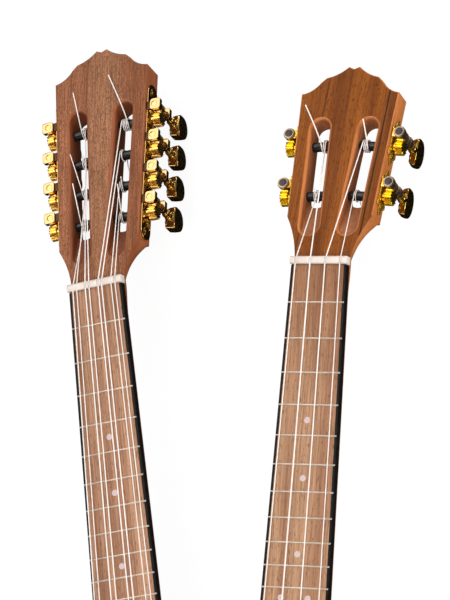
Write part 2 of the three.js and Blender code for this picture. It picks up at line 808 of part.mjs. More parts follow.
function makeBridge(name) {
  const half = bridgeWidth / 2;
  const front = -scaleLength + saddleShelfLength / 2;
  const back = front - bridgeLength;
  const plan = new THREE.Shape();
  const r = bridgeCornerRadius;
  plan.moveTo(-half + r, back);
  plan.lineTo(half - r, back);
  plan.quadraticCurveTo(half, back, half, back + r);
  plan.lineTo(half, front - r);
  plan.quadraticCurveTo(half, front, half - r, front);
  plan.lineTo(-half + r, front);
  plan.quadraticCurveTo(-half, front, -half, front - r);
  plan.lineTo(-half, back + r);
  plan.quadraticCurveTo(-half, back, -half + r, back);
  const base = prism(plan, bridgeBottom, bridgeBottom + bridgeBase, 3);
  const profile = polygon([
    [tieBlockBack, bridgeBottom],
    [front, bridgeBottom],
    [front, bridgeBottom + bridgeBase],
    [-scaleLength + saddleThickness, bridgeBottom + bridgeHeight],
    [shelfBack, bridgeBottom + bridgeHeight],
    [shelfBack - overrun / 2, bridgeBottom + bridgeBase],
    [tieBlockBack + tieBlockLength, bridgeBottom + bridgeBase],
    [tieBlockBack + tieBlockLength, bridgeBottom + bridgeHeight],
    [tieBlockBack, bridgeBottom + bridgeHeight],
  ]);
  const ridge = prism(profile, -bridgeBlockWidth / 2, bridgeBlockWidth / 2)
    .rotateX(Math.PI / 2).rotateZ(Math.PI / 2);
  const saddleSlot = block(
    [-saddleWidth / 2 - seat, -scaleLength - saddleThickness / 2 - seat, bridgeBottom + bridgeHeight - saddleSink],
    [saddleWidth / 2 + seat, -scaleLength + saddleThickness / 2 + seat, bridgeHeight * 2],
  );
  const slots = strings[name].map((string) => stringSlot(
    string.saddle, tieHeight - string.diameter / 2 - stringSlotPlay, tieBlockBack - overrun, shelfBack - overrun / 2,
  ));
  return cut(join(base, ridge), saddleSlot, ...slots);
}

function makeSaddle() {
  const profile = new THREE.Shape();
  const half = saddleThickness / 2;
  const low = bridgeBottom + bridgeHeight - saddleSink + seat;
  profile.moveTo(-half, low);
  profile.lineTo(half, low);
  profile.lineTo(half, saddleTop - half);
  profile.quadraticCurveTo(half, saddleTop, 0, saddleTop);
  profile.quadraticCurveTo(-half, saddleTop, -half, saddleTop - half);
  return prism(profile, -saddleWidth / 2, saddleWidth / 2, 3)
    .rotateX(Math.PI / 2).rotateZ(Math.PI / 2)
    .translate(0, -scaleLength, 0);
}

// One string from its knot behind the bridge, over saddle and nut, round its post and out as a tail
function stringPath(head, string) {
  const radius = string.diameter / 2;
  const frame = headMatrix(head).multiply(tunerMatrix(head, string.side, head.postHeights[string.post]));
  const toTuner = frame.clone().invert();
  const wind = windingRadius(string.diameter);
  const atNut = new THREE.Vector3(string.nut, nutBreak, actionAtNut + radius);
  const fromNut = atNut.clone().applyMatrix4(toTuner);
  const back = string.side * fromNut.y;
  const rise = fromNut.z + head.postDepth;
  const slope = Math.atan2(-rise, -back) + Math.asin(wind / Math.hypot(back, rise));
  const startAngle = -slope;
  const endAngle = 2 * Math.PI * (string.turns + 1) - string.lift;
  const steps = Math.round(((endAngle - startAngle) / (2 * Math.PI)) * windingSteps);
  const pitch = string.diameter + windingGap;
  const onPost = (step) => {
    const angle = startAngle + ((endAngle - startAngle) * step) / steps;
    return new THREE.Vector3(
      -head.stringInsets[string.post] + (pitch * (angle - startAngle)) / (2 * Math.PI),
      string.side * wind * Math.sin(angle),
      -head.postDepth + wind * Math.cos(angle),
    );
  };
  const turns = Array.from({ length: steps + 1 }, (_, step) => onPost(step));
  const leave = new THREE.Vector3(0, string.side * Math.cos(string.lift), Math.sin(string.lift));
  const tailReach = Math.hypot(...string.tail);
  const tailStart = turns.at(-1);
  const [tailX, tailY, tailZ] = string.tail;
  const tailEnd = tailStart.clone();
  tailEnd.add(new THREE.Vector3(string.side * tailX, string.side * tailY, tailZ));
  const tailMiddle = tailStart.clone().addScaledVector(leave, tailReach / 3);
  const wound = [...turns, tailMiddle, tailEnd].map((point) => point.applyMatrix4(frame));
  const tieEnd = tieBlockBack - seat - knotLength;
  const straight = [
    new THREE.Vector3(string.saddle, tieEnd, tieHeight),
    new THREE.Vector3(string.saddle, tieEnd + knotLength / 4, tieHeight),
    new THREE.Vector3(string.saddle, tieEnd + knotLength * 0.75, tieHeight),
    new THREE.Vector3(string.saddle, tieBlockBack - seat / 2, tieHeight),
    new THREE.Vector3(string.saddle, tieBlockBack + tieBlockLength, tieHeight),
    new THREE.Vector3(string.saddle, -scaleLength - radius, actionAtSaddle + radius),
    new THREE.Vector3(string.saddle, -scaleLength + radius, actionAtSaddle + radius),
    new THREE.Vector3(string.nut, nutRound / 2, actionAtNut + radius),
    atNut,
  ];
  const knot = [knotRadius / 2, knotRadius, knotRadius, radius];
  const points = [...straight, ...wound];
  const radii = points.map((_, index) => knot[index] ?? radius);
  return { points, radii, firstTurn: straight.length, turnCount: turns.length };
}

// Least gap between the turns of one winding, measured between points a turn apart
function leastGap(path, diameter) {
  let least = Infinity;
  const last = path.points.length;
  for (let a = path.firstTurn; a < last; a += 1) {
    for (let b = a + Math.round(windingSteps / 2); b < last; b += 1) {
      least = Math.min(least, path.points[a].distanceTo(path.points[b]) - diameter);
    }
  }
  return least;
}

// Gear: straight-flanked teeth, twisted along the post to follow the worm's lead
function gearShape() {
  const root = gearPitchRadius - toothDedendum;
  const tip = gearPitchRadius + toothAddendum;
  const halfAt = (radius) => (halfTooth - (radius - gearPitchRadius) * Math.tan(flankAngle)) / radius;
  const points = [];
  for (let tooth = 0; tooth < gearTeeth; tooth += 1) {
    const middle = (2 * Math.PI * (tooth + 0.5)) / gearTeeth;
    for (const [radius, sign] of [[root, -1], [tip, -1], [tip, 1], [root, 1]]) {
      const angle = middle + sign * halfAt(radius);
      points.push([radius * Math.cos(angle), radius * Math.sin(angle)]);
    }
  }
  return polygon(points);
}

function twistAlongZ(geometry, anglePerLength) {
  const position = geometry.attributes.position;
  const point = new THREE.Vector3();
  for (let index = 0; index < position.count; index += 1) {
    point.fromBufferAttribute(position, index);
    point.applyAxisAngle(new THREE.Vector3(0, 0, 1), point.z * anglePerLength);
    position.setXYZ(index, point.x, point.y, point.z);
  }
  return geometry;
}

// Post: tip, string roller, and outside the plate the gear with its screw; lies along X
function makePost(head) {
  const lead = toothPitch / (2 * Math.PI * wormPitchRadius);
  const teeth = twistAlongZ(prism(gearShape(), -gearWidth / 2, gearWidth / 2), lead / gearPitchRadius)
    .applyMatrix4(new THREE.Matrix4().makeBasis(
      new THREE.Vector3(0, 1, 0), new THREE.Vector3(0, 0, 1), new THREE.Vector3(1, 0, 0),
    ))
    .translate(head.gearReach, 0, 0);
  const wallInside = -(slotInset + slotHalfWidth);
  const bar = turnedAlongX([
    [postTipRadius, wallInside - postTipDepth],
    [postTipRadius, wallInside + postPlay],
    [postRadius, wallInside + postPlay],
    [postRadius, head.gearReach],
  ], postSides);
  return join(bar, teeth);
}

// Worm shaft: one ridge wound on a round core that runs on to both ends, standing along Z with the
// middle of the ridge at 0
function wormShaft(low, high, faceAngle) {
  const tip = wormPitchRadius + toothAddendum;
  const halfTip = halfTooth - toothAddendum * Math.tan(flankAngle);
  const halfRoot = halfTooth + toothDedendum * Math.tan(flankAngle);
  const steps = wormTurns * wormSteps;
  const points = [];
  const push = (radius, angle, z) => points.push(new THREE.Vector3(
    radius * Math.cos(angle),
    radius * Math.sin(angle),
    z,
  )) - 1;
  const angleAt = (step) => faceAngle + (2 * Math.PI * (step - steps / 2)) / wormSteps;
  const ridge = Array.from({ length: steps + 1 }, (_, step) => {
    const angle = angleAt(step);
    const z = (toothPitch * (step - steps / 2)) / wormSteps;
    return [[journalRadius, -halfRoot], [tip, -halfTip], [tip, halfTip], [journalRadius, halfRoot]]
      .map(([radius, offset]) => push(radius, angle, z + offset));
  });
  const startRing = Array.from({ length: wormSteps }, (_, step) => push(journalRadius, angleAt(step), low));
  const endRing = Array.from({ length: wormSteps }, (_, step) => push(journalRadius, angleAt(steps + step), high));
  const startMiddle = push(0, 0, low);
  const endMiddle = push(0, 0, high);
  const faces = [];
  const quad = (a, b, c, d) => faces.push(a, b, c, a, c, d);
  for (let step = 0; step < steps; step += 1) {
    for (let line = 0; line < 3; line += 1) {
      quad(ridge[step][line], ridge[step + 1][line], ridge[step + 1][line + 1], ridge[step][line + 1]);
    }
  }
  for (let step = 0; step + wormSteps <= steps - 1; step += 1) {
    quad(ridge[step][3], ridge[step + 1][3], ridge[step + 1 + wormSteps][0], ridge[step + wormSteps][0]);
  }
  for (let step = 0; step < wormSteps; step += 1) {
    const next = (step + 1) % wormSteps;
    const first = ridge[step][0];
    const second = ridge[step + 1][0];
    faces.push(startMiddle, startRing[next], startRing[step]);
    if (step < wormSteps - 1) {
      quad(startRing[step], startRing[next], second, first);
    } else {
      const [low, , , high] = ridge[0];
      faces.push(startRing[step], startRing[next], low);
      faces.push(startRing[step], low, high);
      faces.push(startRing[step], high, second);
      faces.push(startRing[step], second, first);
    }
    const lastTurn = steps - wormSteps + step;
    const lower = ridge[lastTurn][3];
    const upper = ridge[lastTurn + 1][3];
    faces.push(endMiddle, endRing[step], endRing[next]);
    if (step > 0) {
      quad(lower, upper, endRing[next], endRing[step]);
    } else {
      const [low, , , high] = ridge[steps];
      faces.push(lower, upper, low);
      faces.push(upper, high, low);
      faces.push(upper, endRing[next], high);
      faces.push(high, endRing[next], endRing[step]);
    }
  }
  const [startLow, startTipLow, startTipHigh, startHigh] = ridge[0];
  quad(startLow, startTipLow, startTipHigh, startHigh);
  const [endLow, endTipLow, endTipHigh, endHigh] = ridge[steps];
  quad(endLow, endHigh, endTipHigh, endTipLow);
  const geometry = new THREE.BufferGeometry().setFromPoints(points);
  geometry.setIndex(faces);
  geometry.computeVertexNormals();
  return geometry;
}

// Worm shaft with its button: front journal, thread, rear journal and collar, down the head's side
function makeWorm(head, side) {
  const rearEnd = -head.rearBearingDepth - head.bearingLength - seat;
  const inTheButton = -head.buttonDepth + head.buttonWidth / 2 - head.buttonBevel * 2;
  const shaft = wormShaft(
    inTheButton + head.postDepth,
    head.postDepth - bearingProud,
    (-side * Math.PI) / 2,
  ).translate(0, 0, -head.postDepth);
  const collar = turned([[collarRadius, rearEnd - head.collarLength], [collarRadius, rearEnd]], shaftSides);
  const bevel = head.buttonBevel;
  const oval = new THREE.Shape(Array.from({ length: buttonSides }, (_, step) => {
    const angle = (2 * Math.PI * step) / buttonSides;
    const roundness = Math.sin(angle) > 0 ? buttonFrontShare : 1;
    const wide = Math.sign(Math.cos(angle).toFixed(3)) * Math.abs(Math.cos(angle)) ** ((1 + roundness) / 2);
    const deep = Math.sign(Math.sin(angle).toFixed(3)) * Math.abs(Math.sin(angle)) ** roundness;
    return new THREE.Vector2(
      (head.buttonLength / 2 - bevel) * wide,
      (head.buttonWidth / 2 - bevel) * deep,
    );
  }));
  const button = new THREE.ExtrudeGeometry(oval, {
    depth: head.buttonThickness - bevel * 2,
    bevelThickness: bevel,
    bevelSize: bevel,
    bevelSegments: 1,
  })
    .translate(0, 0, bevel - head.buttonThickness / 2)
    .applyMatrix4(new THREE.Matrix4().makeBasis(
      new THREE.Vector3(0, 1, 0),
      new THREE.Vector3(0, 0, 1),
      new THREE.Vector3(1, 0, 0),
    ))
    .translate(0, 0, -head.buttonDepth);
  return join(shaft, collar, button);
}

// A bearing with its foot on the plate, seen down the worm: a block with a round or chamfered end
function bearingPlan(head, middle) {
  const half = head.bearingHalfHeight;
  const end = head.gearReach + half;
  const rounded = Array.from({ length: roundSteps / 4 + 1 }, (_, step) => {
    const angle = (Math.PI * step) / (roundSteps / 4) - Math.PI / 2;
    return [head.gearReach + half * Math.cos(angle), middle + half * Math.sin(angle)];
  });
  const chamfered = [
    [end - bearingChamfer, middle - half],
    [end, middle - half + bearingChamfer],
    [end, middle + half - bearingChamfer],
    [end - bearingChamfer, middle + half],
  ];
  return polygon([
    [seat, middle - half],
    ...(head.side > 0 ? rounded : chamfered),
    [seat, middle + half],
  ]);
}

// Plate on the head's side with a front and a rear bearing for each worm
function makeTunerPlate(head, side, heights) {
  const base = heights.at(-1);
  const relative = heights.map((height) => height - base);
  const lowEnd = -head.plateBelow;
  const highEnd = relative[0] + head.plateAbove;
  const front = -head.plateFront;
  const back = front - head.plateWidth;
  const middle = (front + back) / 2;
  const lobe = head.plateLobeWidth / 2;
  const rounded = [[lobe, 0], [lobe, lobe], [lobe / 2, lobe * 2], [-lobe / 2, lobe * 2], [-lobe, lobe], [-lobe, 0]];
  const forked = [[lobe, lobe * 2], [0, lobe * 2 - head.plateNotch], [-lobe, lobe * 2]];
  const lobeEnd = head.plateNotch > 0 ? forked : rounded;
  const outline = [
    [back, highEnd - lobe * 2],
    [back, lowEnd + lobe * 2],
    ...lobeEnd.slice().reverse().map(([z, y]) => [middle + z, lowEnd + lobe * 2 - y]),
    [front, lowEnd + lobe * 2],
    [front, highEnd - lobe * 2],
    ...lobeEnd.map(([z, y]) => [middle + z, highEnd - lobe * 2 + y]),
  ];
  const sheetPlan = polygon(outline.map(([z, y]) => [side * y, z]).slice());
  const sheet = prism(sheetPlan, seat, seat + tunerPlateThickness)
    .applyMatrix4(new THREE.Matrix4().makeBasis(
      new THREE.Vector3(0, 1, 0),
      new THREE.Vector3(0, 0, 1),
      new THREE.Vector3(1, 0, 0),
    ));
  const rearTop = -head.rearBearingDepth;
  const rearEnd = rearTop - head.bearingLength;
  const pieces = [sheet];
  const holes = [];
  for (const height of relative) {
    const wormY = side * (height + centreDistance);
    pieces.push(block(
      [seat, wormY - bearingWebWidth / 2, rearEnd],
      [seat + tunerPlateThickness, wormY + bearingWebWidth / 2, -bearingProud],
    ));
    pieces.push(prism(bearingPlan(head, wormY), -bearingProud - head.bearingLength, -bearingProud));
    pieces.push(prism(bearingPlan(head, wormY), rearEnd, rearTop));
    holes.push(turned([
      [journalRadius + journalPlay, rearEnd - overrun],
      [journalRadius + journalPlay, overrun],
    ], shaftSides).translate(head.gearReach, wormY, 0));
    holes.push(turnedAlongX([
      [postRadius + postPlay, -overrun],
      [postRadius + postPlay, overrun * 2],
    ], postSides).translate(0, side * height, -head.postDepth));
  }
  return { geometry: cut(join(...pieces), ...holes), matrix: tunerMatrix(head, side, base) };
}

// Assembly
place(instrument, 'soundboard', makeSoundboard(), walnut);
place(instrument, 'back', bodyPrism(0, 0, plateThickness), walnut);
place(instrument, 'sides_with_linings', makeSides(), walnut);
place(instrument, 'neck_block', makeNeckBlock(), mahogany);
place(instrument, 'tail_block', makeTailBlock(), mahogany);
place(instrument, 'top_braces', makeTopBraces(), spruce);
place(instrument, 'back_braces', makeBackBraces(), spruce);

let narrowestGap = Infinity;
for (const [name, head] of Object.entries(headShapes)) {
  const frame = neckFrame(head.side);
  instrument.add(frame);
  place(frame, `neck_${name}`, makeNeck(head), head.side > 0 ? walnut : mahogany);
  place(frame, `fretboard_${name}`, makeFretboard(), darkWalnut);
  place(frame, `nut_${name}`, makeNut(head, name), ivory);
  place(frame, `bridge_${name}`, makeBridge(name), blackwood);
  place(frame, `saddle_${name}`, makeSaddle(), ivory);

  strings[name].forEach((string, index) => {
    const path = stringPath(head, string);
    narrowestGap = Math.min(narrowestGap, leastGap(path, string.diameter));
    place(frame, `string_${name}_${index + 1}`, tube(path.points, path.radii, stringSides), nylon);
  });

  const headGroup = new THREE.Group();
  headGroup.applyMatrix4(headMatrix(head));
  frame.add(headGroup);
  for (const side of [-1, 1]) {
    const sideName = side < 0 ? 'left' : 'right';
    const machines = head.side < 0 ? [head.postHeights] : head.postHeights.map((height) => [height]);
    machines.forEach((heights, index) => {
      const plate = makeTunerPlate(head, side, heights);
      const group = new THREE.Group();
      group.applyMatrix4(plate.matrix);
      headGroup.add(group);
      const suffix = machines.length > 1 ? `_${index + 1}` : '';
      place(group, `tuner_plate_${name}_${sideName}${suffix}`, plate.geometry, gold);
    });
    head.postHeights.forEach((height, index) => {
      const group = new THREE.Group();
      group.applyMatrix4(tunerMatrix(head, side, height));
      headGroup.add(group);
      const label = `${name}_${sideName}_${index + 1}`;
      const post = place(group, `string_post_${label}`, makePost(head), blackPost);
      post.position.set(0, 0, -head.postDepth);
      const worm = place(group, `worm_shaft_${label}`, makeWorm(head, side), gold);
      worm.position.set(head.gearReach, side * centreDistance, 0);
    });
  }
}

console.log(`least gap between the turns of a string: ${narrowestGap.toFixed(2)} mm`);

export default instrument;
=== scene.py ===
# %% [markdown]
# # A double-neck tenor ukulele
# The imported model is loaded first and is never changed. Each part of the instrument then gets a
# finer mesh in its place, built with bmesh operators, and a material made of nodes.

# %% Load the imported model
import json
import math

import bmesh
import bpy
from mathutils import Matrix, Vector

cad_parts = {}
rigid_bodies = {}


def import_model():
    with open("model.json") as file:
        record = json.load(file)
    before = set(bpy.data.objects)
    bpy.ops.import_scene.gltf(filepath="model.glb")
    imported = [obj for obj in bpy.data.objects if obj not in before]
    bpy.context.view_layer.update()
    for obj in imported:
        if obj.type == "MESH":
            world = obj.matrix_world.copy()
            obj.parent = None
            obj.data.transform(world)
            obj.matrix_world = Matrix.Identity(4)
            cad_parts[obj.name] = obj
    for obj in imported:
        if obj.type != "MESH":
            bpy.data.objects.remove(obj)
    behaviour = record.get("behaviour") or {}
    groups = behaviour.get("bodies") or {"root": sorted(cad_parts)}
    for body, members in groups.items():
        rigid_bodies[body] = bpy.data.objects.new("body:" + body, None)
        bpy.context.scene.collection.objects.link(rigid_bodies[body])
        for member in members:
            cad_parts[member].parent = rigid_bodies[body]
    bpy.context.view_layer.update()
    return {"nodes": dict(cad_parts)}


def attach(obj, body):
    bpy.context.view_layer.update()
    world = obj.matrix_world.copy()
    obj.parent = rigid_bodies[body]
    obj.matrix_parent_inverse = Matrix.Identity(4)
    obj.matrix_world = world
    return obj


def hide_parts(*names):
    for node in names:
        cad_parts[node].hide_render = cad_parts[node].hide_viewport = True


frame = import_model()

# %% [markdown]
# ## Lengths
# All lengths here are in millimetres, as a maker would write them, and one matrix turns them into
# the metres of the scene. The frets follow from the scale length alone: each fret takes away the same
# share of the string that is left.

# %% Lengths that the whole instrument shares
METRES = Matrix.Scale(0.001, 4)
SCALE_LENGTH = 432.0
FRET_COUNT = 18
BODY_JOINT_FRET = 14
NUT_SPACING = 155.0
BRIDGE_SPACING = 70.7
NECK_SPLAY = math.asin((NUT_SPACING - BRIDGE_SPACING) / 2 / SCALE_LENGTH)
BODY_LENGTH, BODY_DEPTH = 298.0, 78.0
GLUE_LINE = 0.3
PLATE = 2.2
BOARD_THICKNESS = 5.0
BOARD_TOP = BODY_DEPTH + GLUE_LINE + BOARD_THICKNESS
NUT_LENGTH = 5.0
HEAD_DROP = 5.0


def fret_distance(number):
    """How far a fret is from the front of the nut."""
    return SCALE_LENGTH * (1 - 2 ** (-number / 12))


NUT_LINE = BODY_LENGTH / 2 + fret_distance(BODY_JOINT_FRET) * math.cos(NECK_SPLAY)
BOARD_LENGTH = fret_distance(FRET_COUNT) + 6.5
print("nut line at", round(NUT_LINE, 1), "mm, twelfth fret", round(fret_distance(12), 1), "mm from the nut")

# %% [markdown]
# ## The two heads
# Both heads are slotted, but they differ in outline and in their machines, so each has a table of its
# own. A head's outline is given by its lower corner, the tip of its ear, the dip beside the ear and the
# peak of its crown. The four machines on each side of the longer head share one plate with round ends.
# On the shorter head each machine has a plate of its own, which ends in pointed leaves.

# %% The two heads
HEADS = {
    "eight_string": dict(
        side=-1, tilt=math.radians(14), thickness=17.5,
        corner=(28.5, 27.5), ear=(34, 155), bump=(17.8, 166.6), peak=(3.7, 174), notch=1.6,
        slot_top=129.5, slot_bottom=37, ramp_end=15.7,
        posts=(116.3, 93.3, 70.3, 47.3), post_depth=8.6, insets=(19, 18.8, 18, 16.8), reach=6.4,
        square_bearings=True, bearing=3.2, bearing_half=4, rear_depth=15.7, collar=1.4, shaft_top=-0.52,
        shared_plate=True, leaf_ends=False, plate_front=2.2, plate_width=13.6, lobe_width=13.4,
        plate_above=26.2, plate_below=18.8, button_depth=38.3, button=(16.2, 13.8, 7.8),
    ),
    "four_string": dict(
        side=1, tilt=math.radians(13), thickness=15,
        corner=(29, 29), ear=(33.5, 115.6), bump=(17.8, 127), peak=(3.7, 134.6), notch=1.6,
        slot_top=96.5, slot_bottom=38, ramp_end=15.7,
        posts=(80.4, 45.4), post_depth=7.9, insets=(19, 17.3), reach=5.7,
        square_bearings=False, bearing=3.2, bearing_half=3.9, rear_depth=15, collar=3.4, shaft_top=-0.75,
        shared_plate=False, leaf_ends=True, plate_front=1.6, plate_width=12.4, lobe_width=12.4,
        plate_above=18.5, plate_below=12.5, button_depth=34.5, button=(19.5, 13, 5.4),
    ),
}
print("posts on each side of a head:", [len(head["posts"]) for head in HEADS.values()])

# %% [markdown]
# ## Frames
# A part is easiest to draw where it stands straight. These matrices lead from such a place to the body:
# from a neck, from the tilted face of its head, and from one machine on the head's leaning side.

# %% Frames that the parts are drawn in


def neck_frame(head):
    """X across a neck, Y up it from the front of the nut, Z = 0 on top of the fretboard."""
    side = head["side"]
    place = Matrix.Translation((side * NUT_SPACING / 2, NUT_LINE, BOARD_TOP))
    return place @ Matrix.Rotation(-side * NECK_SPLAY, 4, "Z")


def head_frame(head):
    """Y up the head's face from the back of the nut, Z out of the face."""
    place = Matrix.Translation((0, NUT_LENGTH, -HEAD_DROP))
    return neck_frame(head) @ place @ Matrix.Rotation(-head["tilt"], 4, "X")


def head_taper(head):
    """The angle by which each side of the head leans outwards."""
    return math.atan2(head["ear"][0] - head["corner"][0], head["ear"][1] - head["corner"][1])


def side_frame(head, side, height):
    """X straight out of the head's side, Y along it, Z out of the face, at one post's height."""
    taper = head_taper(head)
    reach = head["corner"][0] + (height - head["corner"][1]) * math.tan(taper)
    out = Vector((side * math.cos(taper), -math.sin(taper), 0))
    up = Vector((0, 0, 1)).cross(out)
    turn = Matrix((out, up, (0, 0, 1))).transposed().to_4x4()
    return Matrix.Translation((side * reach, height, 0)) @ turn


print("heads lean out by", [round(math.degrees(head_taper(h)), 2) for h in HEADS.values()], "degrees")

# %% [markdown]
# ## Camera, floor and light
# The camera was solved from the frets and the nuts, whose real places are known. It is a long lens
# far away, so it hardly makes near things larger than far ones.

# %% Meshes and objects


def mesh_from(bm, name):
    """Turns a bmesh into a mesh and frees the bmesh."""
    mesh = bpy.data.meshes.new(name)
    bm.to_mesh(mesh)
    bm.free()
    return mesh


def add_object(name, data):
    """Adds an object that holds this mesh, curve, lamp or camera."""
    made = bpy.data.objects.new(name, data)
    bpy.context.scene.collection.objects.link(made)
    return made


print("new objects go into", bpy.context.scene.collection.name)

# %% Camera
LENS, SENSOR_WIDTH, SIGHT = 201.776, 36, 50
CAMERA_PLACE = (833.9, -454.0, 1910.7)
camera_data = bpy.data.cameras.new("camera")
camera_data.lens = LENS
camera_data.sensor_width = SENSOR_WIDTH
camera_data.clip_end = SIGHT
camera = add_object("camera", camera_data)
right = Vector((0.91776, -0.01246, -0.39695))
up = Vector((0.09285, 0.97854, 0.18396))
back = Vector((0.38614, -0.20569, 0.89922))
turn = Matrix((right, up, back)).transposed().to_4x4()
place = Vector(CAMERA_PLACE) + Vector((0, NUT_LINE, BOARD_TOP))
camera.matrix_world = Matrix.Translation(place * 0.001) @ turn.to_quaternion().to_matrix().to_4x4()
bpy.context.scene.camera = camera
bpy.context.scene.view_settings.view_transform = "Standard"
print("camera stands", round(place.length * 0.001, 2), "m from the body's middle")

# %% [markdown]
# A material is a tree of nodes. Written out, every node and link takes several lines, so short helpers
# add a node, a colour ramp, a mix or a sum. Each takes a plain value or the socket of another node,
# which it then links.

# %% Small helpers for node trees


def feed(tree, socket, value):
    """Links a socket to another node's socket, or sets its value."""
    if isinstance(value, bpy.types.NodeSocket):
        tree.links.new(value, socket)
    else:
        socket.default_value = value


def node(tree, kind, inputs=None, **settings):
    """Adds a node with its settings and its inputs."""
    made = tree.nodes.new(kind)
    for name, value in settings.items():
        setattr(made, name, value)
    for name, value in (inputs or {}).items():
        feed(tree, made.inputs[name], value)
    return made


def ramp(tree, factor, *stops):
    """A colour ramp from (position, colour) stops."""
    made = node(tree, "ShaderNodeValToRGB", {"Fac": factor})
    elements = made.color_ramp.elements
    while len(elements) > len(stops):
        elements.remove(elements[-1])
    while len(elements) < len(stops):
        elements.new(1.0)
    for element, (position, colour) in zip(elements, stops):
        element.position = position
        element.color = (*colour, 1.0)
    return made.outputs["Color"]


def mix(tree, factor, first, second, blend="MIX"):
    """Mixes two colours."""
    made = tree.nodes.new("ShaderNodeMix")
    made.data_type = "RGBA"
    made.blend_type = blend
    for index, value in ((0, factor), (6, first), (7, second)):
        feed(tree, made.inputs[index], (*value, 1.0) if isinstance(value, tuple) else value)
    return made.outputs[2]


def math_node(tree, operation, first, second=0.0, third=0.0, clamp=False):
    """One sum, product, power or comparison."""
    made = node(tree, "ShaderNodeMath", operation=operation, use_clamp=clamp)
    for socket, value in zip(made.inputs, (first, second, third)):
        feed(tree, socket, value)
    return made.outputs[0]


def empty_tree(owner):
    """The node tree of a material or a world, cleared."""
    owner.use_nodes = True
    owner.node_tree.nodes.clear()
    return owner.node_tree


def new_material(name):
    """A material with its Principled shader and its output."""
    material = bpy.data.materials.new(name)
    tree = empty_tree(material)
    shader = tree.nodes.new("ShaderNodeBsdfPrincipled")
    output = tree.nodes.new("ShaderNodeOutputMaterial")
    tree.links.new(shader.outputs[0], output.inputs["Surface"])
    return material, tree, shader


print("node helpers are ready")

# %% [markdown]
# The floor is one pale sheet. Gold looks like gold only when it has something dark to mirror, so
# mirror-like surfaces see a darker studio around them than the camera does. A Light Path node on the
# floor and in the world tells the two apart. This is a studio trick: nothing on the object uses it.

# %% Floor
FLOOR_REACH, FLOOR_LEVEL = 6.0, -0.0002
FLOOR_GLOW, GLOW_LOST_ON_BOUNCE, GLOW_SHARE = 1.06, -0.8, 0.86
floor_bm = bmesh.new()
bmesh.ops.create_grid(floor_bm, x_segments=1, y_segments=1, size=FLOOR_REACH)
floor = add_object("floor", mesh_from(floor_bm, "floor"))
floor.location.z = FLOOR_LEVEL

floor_material = bpy.data.materials.new("pale_floor")
tree = empty_tree(floor_material)
rays = node(tree, "ShaderNodeLightPath")
speckle = node(tree, "ShaderNodeTexNoise", {"Scale": 900.0, "Detail": 2.0})
paper = ramp(tree, speckle.outputs["Fac"], (0.3, (0.86, 0.86, 0.86)), (0.7, (0.90, 0.90, 0.90)))
paper_shader = node(tree, "ShaderNodeBsdfDiffuse", {"Color": paper})
shine = math_node(tree, "MULTIPLY_ADD", rays.outputs["Is Diffuse Ray"], GLOW_LOST_ON_BOUNCE, FLOOR_GLOW)
glow = node(tree, "ShaderNodeEmission", {"Color": (1, 1, 1, 1), "Strength": shine})
seen = node(tree, "ShaderNodeMixShader", {0: GLOW_SHARE, 1: paper_shader.outputs[0], 2: glow.outputs[0]})
dark = node(tree, "ShaderNodeEmission", {"Color": (0.10, 0.085, 0.07, 1), "Strength": 0.03})
sheen_ray = rays.outputs["Is Glossy Ray"]
both = node(tree, "ShaderNodeMixShader", {0: sheen_ray, 1: seen.outputs[0], 2: dark.outputs[0]})
node(tree, "ShaderNodeOutputMaterial", {"Surface": both.outputs[0]})
floor.data.materials.append(floor_material)
print("floor is", 2 * FLOOR_REACH, "m wide")

# %% Studio around it
world = bpy.data.worlds.new("studio")
bpy.context.scene.world = world
tree = empty_tree(world)
rays = node(tree, "ShaderNodeLightPath")
pale = node(tree, "ShaderNodeBackground", {"Color": (1, 1, 1, 1), "Strength": 0.55})
shade = node(tree, "ShaderNodeBackground", {"Color": (0.12, 0.11, 0.10, 1), "Strength": 1.0})
sheen_ray = rays.outputs["Is Glossy Ray"]
both = node(tree, "ShaderNodeMixShader", {0: sheen_ray, 1: pale.outputs[0], 2: shade.outputs[0]})
node(tree, "ShaderNodeOutputWorld", {"Surface": both.outputs[0]})
print("studio is ready")

# %% [markdown]
# Two kinds of lamp light the scene, as a photographer would use them. Soft boxes give the light on wood
# and leave no mirror image. Cards and strips are there only to be mirrored: they draw the bright lines
# along polished metal.

# %% Soft boxes, cards and strips
AIM = (0.0, 0.35, 0.08)
WARM_WHITE = (1.0, 0.98, 0.96)
SOFT_BOXES = (
    ("soft_box_high", (-1.0, 1.95, 1.75), (1.3, 1.3), 14),
    ("soft_box_right", (1.9, 0.5, 0.8), (0.8, 1.4), 30),
    ("soft_box_camera_side", (0.2, -0.6, 2.4), (1.0, 1.0), 26),
)
CARDS_AND_STRIPS = (
    ("card_high", (-1.05, 2.0, 1.8), (1.8, 1.8), 19),
    ("card_right", (2.2, 0.9, 0.9), (0.5, 1.6), 8),
    ("card_front", (0.5, -1.9, 0.9), (1.6, 0.7), 9),
    ("card_above", (-0.85, 0.8, 2.15), (0.9, 0.9), 8),
    ("strip_far", (0.3, 2.6, 0.75), (3.2, 0.35), 9),
    ("strip_near", (0.0, -1.7, 1.9), (3.0, 0.3), 7),
    ("strip_left", (-2.2, 0.3, 1.3), (0.35, 2.4), 7),
    ("strip_low", (-0.75, -1.15, 0.42), (2.0, 0.3), 4),
)


def soft_box(name, place, size, power, colour=(1, 1, 1)):
    """A rectangular lamp that faces the instrument."""
    lamp = bpy.data.lights.new(name, "AREA")
    lamp.shape = "RECTANGLE"
    lamp.size, lamp.size_y = size
    lamp.energy = power
    lamp.color = colour
    made = add_object(name, lamp)
    made.location = place
    made.rotation_euler = (Vector(AIM) - Vector(place)).to_track_quat("-Z", "Y").to_euler()
    return made


